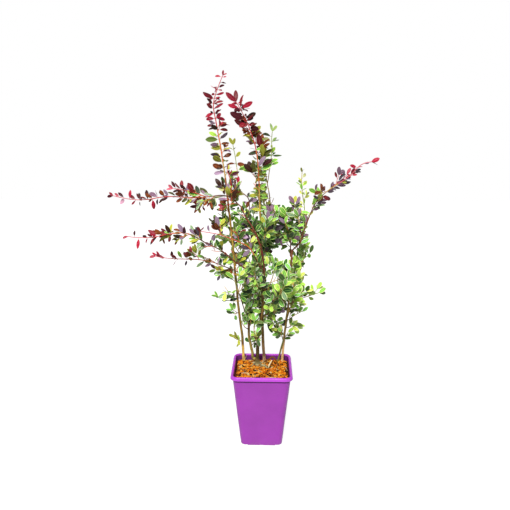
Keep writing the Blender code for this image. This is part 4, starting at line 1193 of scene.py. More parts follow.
def soil_material():
    nodes = Nodes("mix_bed", 0.95, specular=0.12)
    place = nodes.place()
    grain = nodes.noise(place, scale=190.0, detail=5.0, roughness=0.7)
    nodes.colour(nodes.ramp(grain, [(stop, linear(colour)) for stop, colour in SOIL_COLOURS]))
    nodes.roughness(nodes.range(grain, to=(0.85, 1.0)))
    fine = nodes.noise(place, scale=760.0, detail=4.0, roughness=0.7)
    coarse = nodes.bump(grain, strength=0.9, distance=0.003)
    nodes.normal(nodes.bump(fine, strength=0.6, distance=0.0008, under=coarse))
    return nodes.material


def chip_material(name, colour):
    """Shredded bark or coir: fibrous streaks in the piece's own colour."""
    nodes = Nodes(name, 0.9, specular=0.12)
    base = linear(colour)
    place = nodes.place((1.0, 0.45, 1.0))
    fibres = nodes.noise(place, scale=900.0, detail=4.0, roughness=0.7, distortion=0.6)
    stops = [(0.30, scaled(base, 0.60)), (0.50, base), (0.75, scaled(base, 1.25))]
    nodes.colour(nodes.ramp(fibres, stops))
    nodes.roughness(nodes.range(fibres, to=(0.78, 0.98)))
    nodes.normal(nodes.bump(fibres, strength=0.8, distance=0.0008))
    return nodes.material


def perlite_material():
    nodes = Nodes("perlite_grain", 0.9)
    place = nodes.place()
    grain = nodes.noise(place, scale=900.0, detail=4.0, roughness=0.7)
    nodes.colour(nodes.ramp(grain, [(0.3, PERLITE_SHADE), (0.6, PERLITE_WHITE)]))
    nodes.roughness(nodes.range(grain, to=(0.8, 1.0)))
    nodes.normal(nodes.bump(grain, strength=0.9, distance=0.0010))
    return nodes.material


def floor_material():
    """A grey that glows to the white of the backdrop."""
    nodes = Nodes("studio_floor", 0.85, specular=0.0)
    nodes.roughness(nodes.range(nodes.noise(nodes.place(), scale=1.3, detail=2.0), to=(0.80, 0.95)))
    nodes.colour(FLOOR_COLOUR)
    nodes.shader.inputs["Emission Color"].default_value = (1.0, 1.0, 1.0, 1.0)
    nodes.shader.inputs["Emission Strength"].default_value = FLOOR_GLOW
    return nodes.material


# Pot

def wall_half(height):
    """Half the pot's outer width at a height on its tapering wall."""
    return mix(BODY_FOOT_HALF, BODY_TOP_HALF, height / (POT_HEIGHT - RIM_DROP))


def corner_radius(height):
    return mix(CORNER_FOOT, CORNER_TOP, height / POT_HEIGHT)


def rounded_square(half, radius, height):
    """Points round a square with arcs for corners and points along its sides."""
    ring = []
    for corner in range(4):
        start = corner * math.pi / 2
        middle = start + math.pi / 4
        centre_x = math.copysign(half - radius, math.cos(middle))
        centre_y = math.copysign(half - radius, math.sin(middle))
        for step in range(CORNER_STEPS + 1):
            angle = start + math.pi / 2 * step / CORNER_STEPS
            x = centre_x + radius * math.cos(angle)
            y = centre_y + radius * math.sin(angle)
            ring.append(Vector((x, y, height)))
        run = 2 * (half - radius)
        heading = level_heading(start + math.pi)
        for step in range(1, SIDE_STEPS):
            ring.append(ring[-1] + heading * (run / SIDE_STEPS))
    return ring


def arc(centre_half, centre_height, radius, start, end, steps):
    """Half widths and heights on a round of the pot's profile, between two angles in degrees."""
    result = []
    for i in range(steps + 1):
        angle = math.radians(mix(start, end, i / steps))
        height = centre_height + radius * math.sin(angle)
        result.append((centre_half + radius * math.cos(angle), height))
    return result


def pot_profile():
    """Half width and height, from the foot up outside, over the lip and down inside."""
    lip_low = POT_HEIGHT - RIM_DROP
    skin_low = POT_HEIGHT - RIM_SKIN
    skirt_half = RIM_HALF - RIM_SKIN
    step_height = lip_low - LIP_SHADE
    shade_half = wall_half(lip_low) - LIP_SHADE_DEPTH
    outer = arc(wall_half(0.0) - FOOT_ROUND, FOOT_ROUND, FOOT_ROUND, -90, -6, FOOT_STEPS)
    for i in range(1, WALL_STEPS + 1):
        height = mix(WALL_FOOT, skin_low - SKIN_CORNER, i / WALL_STEPS)
        if height < step_height - STEP_CLEAR:
            outer.append((wall_half(height), height))
    outer += [
        (wall_half(step_height), step_height),
        (shade_half, step_height + SKIN_INSET),
        (shade_half, skin_low - SKIN_CORNER),
        (skirt_half - SKIN_INSET, skin_low - SKIN_INSET / 2),
        (skirt_half, skin_low - SKIN_CORNER),
        (skirt_half, lip_low + SKIRT_CLEAR)]
    lip = arc(RIM_HALF - RIM_SKIN / 2, lip_low + RIM_SKIN / 2, RIM_SKIN / 2, -180, 0, LIP_STEPS)
    lip.append((RIM_HALF - SKIRT_DRAFT, lip_low + SKIRT_RISE))
    lip += arc(RIM_HALF - LIP_PLACE, POT_HEIGHT - LIP_ROUND, LIP_ROUND, 8, 90, LIP_STEPS)
    mouth_half = wall_half(POT_HEIGHT) - POT_WALL + MOUTH_ROUND
    lip += arc(mouth_half, POT_HEIGHT - MOUTH_ROUND, MOUTH_ROUND, 90, 180, LIP_STEPS)
    inside = []
    for i in range(WALL_STEPS + 1):
        height = mix(POT_HEIGHT - LIP_ROUND, POT_FLOOR, i / WALL_STEPS)
        inside.append((wall_half(height) - POT_WALL, height))
    # The band under the lip and the hollow under the rim take the darker purple as a painted shadow of
    # the rim; the inside of the pot takes it as painted shade
    slots = [WALL_SLOT if height < step_height else PAINTED_SHADE_SLOT for _, height in outer]
    slots += [PAINTED_HIGHLIGHT_SLOT] * len(lip) + [PAINTED_SHADE_SLOT] * len(inside)
    return outer + lip + inside, slots


def make_pot():
    """A tapered shell whose rim turns out and down, with slightly uneven walls, a painted highlight on
    the lip, and painted shade inside and in the band under the lip.
    """
    profile, slots = pot_profile()
    rings = []
    for half, height in profile:
        radius = max(LEAST_CORNER, corner_radius(height) + half - wall_half(height))
        strength = WALL_WOBBLE * min(1.0, height / WOBBLE_FROM)
        ring = []
        for point in rounded_square(half, radius, height):
            place = Vector((point.x * WOBBLE_ACROSS, point.y * WOBBLE_ACROSS, height * WOBBLE_UP))
            uneven = noise.noise(place) * strength
            outward = Vector((point.x, point.y, 0.0)).normalized()
            ring.append(point + outward * (uneven - WALL_WOBBLE * 0.5))
        rings.append(ring)
    parts = MeshParts()
    parts.add_rings(rings, slots)
    # Wall, lip with a painted highlight, and painted shade for the inside and under the lip
    materials = [
        pot_material("pot_wall", POT_PURPLE, gloss=0.38),
        pot_material("pot_lip_painted_highlight", LIP_PAINTED_HIGHLIGHT_PURPLE, gloss=0.30),
        pot_material("pot_painted_shade", PAINTED_SHADE_PURPLE, gloss=0.50)]
    pot = parts.make("pot_shell", materials, math.radians(40))
    for cutter in pot_cutters():
        cut(pot, cutter)
    settle(pot, "pot_plastic", "pot")


def pot_cutters():
    """Corner notches under the foot, small middle notches and drain holes."""
    notches = bmesh.new()
    corner_size = RIM_HALF - FOOT_INNER
    corner_place = FOOT_INNER + corner_size / 2
    for sign_x, sign_y in CORNERS:
        place = Matrix.Translation((sign_x * corner_place, sign_y * corner_place, 0.0))
        size = Matrix.Diagonal((corner_size, corner_size, 2 * FOOT_LIFT, 1.0))
        bmesh.ops.create_cube(notches, size=1.0, matrix=place @ size)
    for quarter in range(4):
        turn = Matrix.Rotation(quarter * math.pi / 2, 4, "Z")
        place = Matrix.Translation((0.0, BODY_FOOT_HALF, 0.0))
        size = Matrix.Diagonal((NOTCH_WIDTH, 2 * NOTCH_DEPTH, 2 * NOTCH_HEIGHT, 1.0))
        bmesh.ops.create_cube(notches, size=1.0, matrix=turn @ place @ size)
    holes = bmesh.new()
    for sign_x, sign_y in CORNERS:
        place = Matrix.Translation((sign_x * DRAIN_PLACE, sign_y * DRAIN_PLACE, POT_FLOOR))
        bmesh.ops.create_cone(holes, cap_ends=True, segments=DRAIN_SIDES, radius1=DRAIN_RADIUS,
                              radius2=DRAIN_RADIUS, depth=DRAIN_CUT, matrix=place)
    return [plain_object("foot_notches", notches), plain_object("drain_holes", holes)]


def plain_object(name, bm):
    bmesh.ops.recalc_face_normals(bm, faces=bm.faces)
    mesh = bpy.data.meshes.new(name)
    bm.to_mesh(mesh)
    bm.free()
    return add_object(name, mesh)


def cut(obj, cutter):
    """Take one object's space out of another, and drop the cutter."""
    modifier = obj.modifiers.new("cut", "BOOLEAN")
    modifier.operation = "DIFFERENCE"
    modifier.solver = "EXACT"
    modifier.object = cutter
    graph = bpy.context.evaluated_depsgraph_get()
    mesh = bpy.data.meshes.new_from_object(obj.evaluated_get(graph))
    obj.modifiers.clear()
    obj.data = mesh
    bpy.data.objects.remove(cutter, do_unlink=True)


# Potting mix

def lay_in_pot(parts, name, materials, crease_angle):
    """Make a piece that belongs to the potting mix."""
    settle(parts.make(name, materials, crease_angle), "potting_mix", "potting_mix")


def soil_height(x, y):
    """Height of the mix's uneven, slightly domed top."""
    edge = max(abs(x), abs(y)) / (wall_half(SOIL_EDGE) - POT_WALL)
    dome = mix(SOIL_TOP, SOIL_EDGE, edge ** DOME_POWER)
    rough = rough_noise(Vector((x, y, 0.0)), SOIL_NOISE)
    return dome + rough * SOIL_ROUGHNESS - SOIL_ROUGHNESS * SOIL_SINK


def inside_pot(x, y, half, radius):
    """Pull a point of a square grid into a square with rounded corners."""
    limit = half - radius
    over_x = abs(x) - limit
    over_y = abs(y) - limit
    if over_x <= 0.0 or over_y <= 0.0:
        return x, y
    reach = math.hypot(over_x, over_y)
    scale = max(over_x, over_y) / reach
    return math.copysign(limit + over_x * scale, x), math.copysign(limit + over_y * scale, y)


def make_soil_bed():
    """A rough top on a filling that reaches down to the pot's floor."""
    parts = MeshParts()
    half = wall_half(SOIL_EDGE) - POT_WALL - GAP
    radius = corner_radius(SOIL_EDGE) - POT_WALL
    count = SOIL_CELLS + 1
    for i in range(count):
        for j in range(count):
            x = mix(-half, half, i / SOIL_CELLS)
            y = mix(-half, half, j / SOIL_CELLS)
            x, y = inside_pot(x, y, half, radius)
            parts.points.append(Vector((x, y, soil_height(x, y))))
    for i in range(SOIL_CELLS):
        for j in range(SOIL_CELLS):
            corner = i * count + j
            parts.add_face((corner, corner + count, corner + count + 1, corner + 1), 0)
    last = SOIL_CELLS
    rim = [i * count for i in range(last)]
    rim += [last * count + j for j in range(last)]
    rim += [i * count + last for i in range(last, 0, -1)]
    rim += [j for j in range(last, 0, -1)]
    low = POT_FLOOR + GAP
    shrink = (wall_half(low) - POT_WALL - GAP) / half
    first = len(parts.points)
    for index in rim:
        point = parts.points[index]
        parts.points.append(Vector((point.x * shrink, point.y * shrink, low)))
    for k in range(len(rim)):
        following = (k + 1) % len(rim)
        parts.add_face((rim[following], rim[k], first + k, first + following), 0)
    parts.add_face(tuple(range(first + len(rim) - 1, first - 1, -1)), 0)
    lay_in_pot(parts, "mix_bed", [soil_material()], math.radians(50))


def soil_spot(chance, margin):
    """A random place on the mix, at least a margin from the pot's wall."""
    half = wall_half(SOIL_EDGE) - POT_WALL - margin
    x = chance.uniform(-half, half)
    y = chance.uniform(-half, half)
    x, y = inside_pot(x, y, half, SPOT_CORNER)
    return Vector((x, y, soil_height(x, y)))


def tumbled(chance, tilt):
    """A turn about the vertical after a random tilt."""
    across = math.cos(chance.uniform(0.0, TILT_ROUND))
    along = math.sin(chance.uniform(0.0, TILT_ROUND))
    lean = Quaternion((across, along, 0.0), chance.uniform(-tilt, tilt))
    return Quaternion(UP, any_angle(chance)) @ lean


def make_chips():
    """Splinters of bark and coir that lie over one another on the mix."""
    chance = random.Random("chips")
    names = list(CHIP_COLOURS)
    weights = [CHIP_COLOURS[name][1] for name in names]
    parts = MeshParts()
    for _ in range(CHIP_COUNT):
        slot = chance.choices(range(len(names)), weights=weights)[0]
        size = chance.uniform(*CHIP_SIZE) * chance.uniform(*CHIP_SPREAD)
        width = size * chance.uniform(*CHIP_WIDTH)
        thickness = chance.uniform(*CHIP_THICKNESS)
        spot = soil_spot(chance, CHIP_MARGIN + size * CHIP_REACH)
        spot.z += chance.uniform(*CHIP_LIFT)
        turn = tumbled(chance, CHIP_TILT)
        sides = chance.randint(*CHIP_SIDES)
        upper = []
        lower = []
        for k in range(sides):
            angle = 2 * math.pi * k / sides
            x = math.cos(angle) * size * chance.uniform(*CHIP_LONG_EDGE)
            y = math.sin(angle) * width * chance.uniform(*CHIP_WIDE_EDGE)
            rise = thickness * chance.uniform(*CHIP_THICK_EDGE)
            upper.append(spot + turn @ Vector((x * CHIP_TOP, y * CHIP_TOP, rise)))
            lower.append(spot + turn @ Vector((x, y, -rise * CHIP_UNDER)))
        parts.add_rings([lower, upper], [slot, slot])
    materials = [chip_material(name, CHIP_COLOURS[name][0]) for name in names]
    lay_in_pot(parts, "mix_chips", materials, math.radians(25))


def make_crumbs():
    """Small round crumbs and grains of perlite."""
    chance = random.Random("crumbs")
    crumbs = MeshParts()
    for _ in range(CRUMB_COUNT):
        size = chance.uniform(*CRUMB_SIZE)
        spot = soil_spot(chance, CRUMB_MARGIN)
        add_lump(crumbs, chance, spot, size, fineness=1, slot=chance.choice(CRUMB_SLOTS))
    names = list(CHIP_COLOURS)[:max(CRUMB_SLOTS) + 1]
    materials = [chip_material("crumb_" + name, CHIP_COLOURS[name][0]) for name in names]
    lay_in_pot(crumbs, "mix_crumbs", materials, SOFT_CREASE)
    perlite = MeshParts()
    for _ in range(PERLITE_COUNT):
        size = chance.uniform(*PERLITE_SIZE)
        spot = soil_spot(chance, PERLITE_MARGIN) + UP * PERLITE_LIFT
        add_lump(perlite, chance, spot, size, fineness=2, slot=0)
    lay_in_pot(perlite, "mix_perlite", [perlite_material()], SOFT_CREASE)


def add_lump(parts, chance, centre, size, fineness, slot):
    """An uneven ball of the given size."""
    ball = bmesh.new()
    bmesh.ops.create_icosphere(ball, subdivisions=fineness, radius=1.0)
    first = len(parts.points)
    shift = random_vector(chance, 0, 50)
    squeeze = Vector([chance.uniform(*span) for span in LUMP_SQUEEZE])
    for vertex in ball.verts:
        reach = size * (1.0 + LUMP_UNEVEN * noise.noise(vertex.co * LUMP_NOISE + shift))
        parts.points.append(centre + vertex.co * squeeze * reach)
    for face in ball.faces:
        parts.add_face(tuple(first + vertex.index for vertex in face.verts), slot)
    ball.free()


def make_fibres():
    """Coir threads, and some bent dry straws that stand up a little."""
    chance = random.Random("fibres")
    parts = MeshParts()
    half = wall_half(SOIL_EDGE) - POT_WALL - FIBRE_CLEAR
    for _ in range(FIBRE_COUNT):
        length = chance.uniform(*FIBRE_LENGTH)
        spot = soil_spot(chance, FIBRE_MARGIN + length * FIBRE_REACH)
        heading = level_heading(any_angle(chance))
        aside = Vector((-heading.y, heading.x, 0.0)) * length * chance.uniform(*FIBRE_BOW)
        rise = chance.uniform(*FIBRE_RISE)
        path = []
        for k in range(len(FIBRE_TAPER)):
            share = k / (len(FIBRE_TAPER) - 1)
            bow = math.sin(math.pi * share)
            point = spot + heading * length * (share - 0.5) + aside * bow
            x, y = inside_pot(point.x, point.y, half, SPOT_CORNER)
            path.append(Vector((x, y, soil_height(x, y) + (FIBRE_LIFT + rise * bow))))
        thick = chance.uniform(*FIBRE_RADIUS)
        slot = chance.choice(FIBRE_SLOTS)
        parts.add_tube(path, [thick * share for share in FIBRE_TAPER], FIBRE_SIDES, [slot] * len(path))
    for slot, thick, route in STRAWS:
        path = spline([millimetres(point) for point in route], STRAW_STEP)
        radii = []
        for i in range(len(path)):
            bow = math.sin(math.pi * i / (len(path) - 1))
            radii.append(thick * MM * mix(STRAW_END, 1.0, bow))
        parts.add_tube(path, radii, STRAW_SIDES, [slot] * len(path))
    materials = [chip_material(name, colour) for name, colour in FIBRE_COLOURS.items()]
    lay_in_pot(parts, "mix_fibres", materials, SOFT_CREASE)


# Limbs

def grow_limbs():
    limbs = {}
    for name, (parent, share, r_start, r_end, flare, sides, route) in LIMBS.items():
        points = [millimetres(point) for point in route]
        if parent is not None:
            points = grow_from(limbs[parent], share, points[0], r_start * MM) + points
        else:
            points[0] = points[0] - UP * STEM_SINK
        limb = Shoot(points, r_start * MM, r_end * MM, LIMB_STEP, flare * MM)
        limb.sides = sides
        limb.gnarl = CROWN_GNARL if flare > GNARLED_FLARE else BOUGH_GNARL if parent else STEM_GNARL
        limbs[name] = limb
    return limbs


def bark_relief(point, angle, mark, radius, gnarl):
    """How far bark stands out: lengthwise ridges, node rings and knobs at the foot."""
    turn = level_heading(angle)
    ridges = noise.noise(turn * RIDGE_NOISE[0] + Vector((0.0, 0.0, mark * RIDGE_NOISE[1])))
    fine = noise.noise(turn * WRINKLE_NOISE[0] + Vector((3.0, 0.0, mark * WRINKLE_NOISE[1])))
    relief = radius * (RIDGE_RISE * ridges + WRINKLE_RISE * fine)
    step = mark / BARK_NODE
    near_node = max(0.0, 1.0 - abs(step - round(step)) * BARK_NODE_EDGE)
    side = max(0.0, math.cos(angle - round(step) * GOLDEN_ANGLE))
    relief += radius * BARK_NODE_RISE * near_node * side ** 2
    near_foot = max(0.0, 1.0 - mark / KNOB_REACH)
    return relief + gnarl * KNOB_RISE * near_foot * rough_noise(point, KNOB_NOISE)


def add_bark(parts, limb):
    """A limb's surface with its relief."""
    def relief(place, angle, index):
        return bark_relief(place, angle, limb.marks[index], limb.radii[index], limb.gnarl)

    parts.add_rings(rings_along(limb.path, limb.radii, limb.sides, relief), [0] * len(limb.path))


def make_bark(name, limb):
    """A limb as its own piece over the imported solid."""
    parts = MeshParts()
    add_bark(parts, limb)
    # Colours by height; on the stems these are partly painted sunlight and shadow
    stops = LIMB_COLOURS_WITH_PAINTED_LIGHT.get(name, BOUGH_COLOURS)
    painted_shadow = BARK_PAINTED_SHADOWS.get(name, BARK_PAINTED_SHADOW)
    bark = parts.make("bark_" + name, [bark_material("bark_of_" + name, stops, painted_shadow)], BARK_CREASE)
    settle(bark, name + "_bark", name)


def make_roots():
    """Gnarled roots that leave the crown and dip into the mix."""
    parts = MeshParts()
    for radius, route in ROOTS:
        points = [millimetres(point) for point in route]
        root = Shoot(points, radius * MM, radius * MM * ROOT_TAPER, ROOT_STEP)
        root.sides = ROOT_SIDES
        root.gnarl = ROOT_GNARL
        add_bark(parts, root)
    chance = random.Random("knobs")
    for radius, place in KNOBS:
        add_lump(parts, chance, millimetres(place), radius * MM, fineness=3, slot=0)
    bark = bark_material("bark_of_roots", ROOT_COLOURS_WITH_PAINTED_LIGHT, ROOT_PAINTED_SHADOW, ROOT_BLOTCH)
    roots = parts.make("bark_roots", [bark], BARK_CREASE)
    settle(roots, "stem_crown_bark", "stem_crown")


# Leaves

class Leaf:
    """A leaf's place and curved shape; u runs from base to tip and v from side to side."""

    def __init__(self, base, heading, normal, length, width, blunt, chance):
        self.base = base
        self.heading = heading
        self.normal = (normal - heading * normal.dot(heading)).normalized()
        self.side = self.normal.cross(heading)
        self.length = length
        self.half = length * width * chance.uniform(*LEAF_WIDTH) / 2
        self.bow = chance.uniform(*LEAF_BOW)
        self.droop = chance.uniform(*LEAF_DROOP)
        self.twist = chance.uniform(*LEAF_TWIST)
        self.fold = chance.uniform(*LEAF_FOLD)
        self.curl = chance.uniform(*LEAF_CURL)
        self.wave = chance.uniform(*LEAF_WAVE)
        self.phase = any_angle(chance)
        self.blunt = blunt * chance.uniform(*LEAF_BLUNT)

    def point(self, u, v):
        turn = self.twist * u
        side = self.side * math.cos(turn) + self.normal * math.sin(turn)
        up = self.normal * math.cos(turn) - self.side * math.sin(turn)
        widest = WEDGE / (WEDGE + self.blunt)
        top = widest ** WEDGE * (1 - widest) ** self.blunt
        inner = min(max(u, LEAF_ENDS[0]), LEAF_ENDS[1])
        half = self.half * inner ** WEDGE * (1 - inner) ** self.blunt / top
        reach = abs(v)
        rise = self.fold * reach - self.curl * v * v
        phase = self.phase + (WAVE_SHIFT if v > 0 else 0.0)
        rise += self.wave * reach * math.sin(WAVE_TURNS * u + phase)
        height = self.length * (self.bow * u * (1 - u) - self.droop * u * u)
        groove = RIB_GROOVE if reach < RIB_REACH and RIB_ENDS[0] < u < RIB_ENDS[1] else 0.0
        middle = self.base + self.heading * self.length * u + self.normal * height
        return middle + side * v * half + up * (rise * half - groove)

    def proxy(self):
        """A coarse sheet of the leaf, without its stalk end, to test its space with."""
        points = []
        for u in PROXY_STATIONS:
            for v in PROXY_COLUMNS:
                points.append(self.point(u, v))
        return points, PROXY_FACES


PROXY_FACES = []
for proxy_row in range(len(PROXY_STATIONS) - 1):
    for proxy_column in range(len(PROXY_COLUMNS) - 1):
        proxy_corner = proxy_row * len(PROXY_COLUMNS) + proxy_column
        proxy_above = proxy_corner + len(PROXY_COLUMNS)
        PROXY_FACES.append((proxy_corner, proxy_above, proxy_above + 1, proxy_corner + 1))


def add_leaf_mesh(parts, leaf, root, painted_light_tone):
    """A thin closed leaf on its stalk, in the materials of one painted light tone: shaded, middle or
    lit.
    """
    first_slot = painted_light_tone * len(LEAF_SIDES)
    top, under, margin, rib = range(first_slot, first_slot + len(LEAF_SIDES))
    columns = len(LEAF_COLUMNS)
    first = len(parts.points)
    for u in LEAF_STATIONS:
        for v in LEAF_COLUMNS:
            parts.points.append(leaf.point(u, v))
    back = len(parts.points)
    for u in LEAF_STATIONS:
        parts.points.append(leaf.point(u, 0.0) - leaf.normal * LEAF_BACK)
    for row in range(len(LEAF_STATIONS) - 1):
        low = first + row * columns
        high = low + columns
        for strip in range(columns - 1):
            slot = margin if strip in MARGIN_STRIPS else rib if strip == RIB_STRIP else top
            parts.add_face((low + strip, high + strip, high + strip + 1, low + strip + 1), slot)
        parts.add_face((low, back + row, back + row + 1, high), under)
        right = low + columns - 1
        parts.add_face((right, right + columns, back + row + 1, back + row), under)
    last = first + (len(LEAF_STATIONS) - 1) * columns
    parts.add_face((*range(first, first + columns), back), under)
    tip_back = back + len(LEAF_STATIONS) - 1
    parts.add_face((*range(last + columns - 1, last - 1, -1), tip_back), under)
    stalk_end = leaf.base + leaf.heading * leaf.length * PETIOLE_OVERLAP
    stalk_end -= leaf.normal * PETIOLE_RADIUS * PETIOLE_DROP
    bend = root.lerp(stalk_end, 0.5) - leaf.normal * PETIOLE_SAG
    radii = [PETIOLE_RADIUS * share for share in PETIOLE_TAPER]
    parts.add_tube([root, bend, stalk_end], radii, PETIOLE_SIDES, [rib] * len(radii))


# Growth

class Space:
    """What has been placed so far, kept by cells, so that leaves don't cut through it."""

    def __init__(self, low, high):
        self.low = low
        self.high = high
        self.bodies = []
        self.cells = {}

    def keys(self, points):
        lows = [int(min(point[axis] for point in points) // CELL) for axis in range(3)]
        highs = [int(max(point[axis] for point in points) // CELL) for axis in range(3)]
        for i in range(lows[0], highs[0] + 1):
            for j in range(lows[1], highs[1] + 1):
                for k in range(lows[2], highs[2] + 1):
                    yield i, j, k

    def add(self, points, faces):
        self.bodies.append(BVHTree.FromPolygons(points, faces))
        for key in self.keys(points):
            self.cells.setdefault(key, []).append(len(self.bodies) - 1)

    def add_shoot(self, shoot, pad):
        """Remember a shoot in short lengths."""
        stride = max(1, round(BODY_LENGTH / (shoot.length / (len(shoot.path) - 1))))
        for start in range(0, len(shoot.path) - 1, stride):
            end = min(start + stride, len(shoot.path) - 1)
            if end > start:
                parts = MeshParts()
                radius = shoot.radii[start] + pad
                ends = [shoot.path[start], shoot.path[end]]
                parts.add_tube(ends, [radius, radius], BODY_SIDES, [0, 0])
                self.add(parts.points, parts.faces)

    def clear(self, points, faces):
        for axis in range(3):
            if min(point[axis] for point in points) < self.low[axis]:
                return False
            if max(point[axis] for point in points) > self.high[axis]:
                return False
        tree = BVHTree.FromPolygons(points, faces)
        near = set()
        for key in self.keys(points):
            near.update(self.cells.get(key, ()))
        return not any(tree.overlap(self.bodies[index]) for index in sorted(near))


class Sight:
    """What the photograph shows between the leaves: sky, and some limbs in front."""

    def __init__(self, limbs):
        self.rows = {}
        for name, (first, last, margin) in SHOWN_LIMBS.items():
            self.show(limbs[name], first, last, margin)

    def show(self, shoot, first, last, margin):
        """Keep leaves from hiding a part of a shoot."""
        for mark, point in zip(shoot.marks, shoot.path):
            if first <= mark / shoot.length <= last:
                x, y, distance = seen_at(point)
                self.rows.setdefault(round(y), []).append((x, distance - STEM_IN_SIGHT, margin))

    def hides(self, leaf):
        """Whether a leaf would cover such a place."""
        for u, v in SIGHT_POINTS:
            x, y, distance = seen_at(leaf.point(u, v))
            for middle_x, middle_y, half_x, half_y in SKY_WINDOWS:
                if ((x - middle_x) / half_x) ** 2 + ((y - middle_y) / half_y) ** 2 < 1.0:
                    return True
            for row in (round(y) - 1, round(y), round(y) + 1):
                for limb_x, limb_distance, margin in self.rows.get(row, ()):
                    if distance < limb_distance and abs(x - limb_x) < margin:
                        return True
        return False


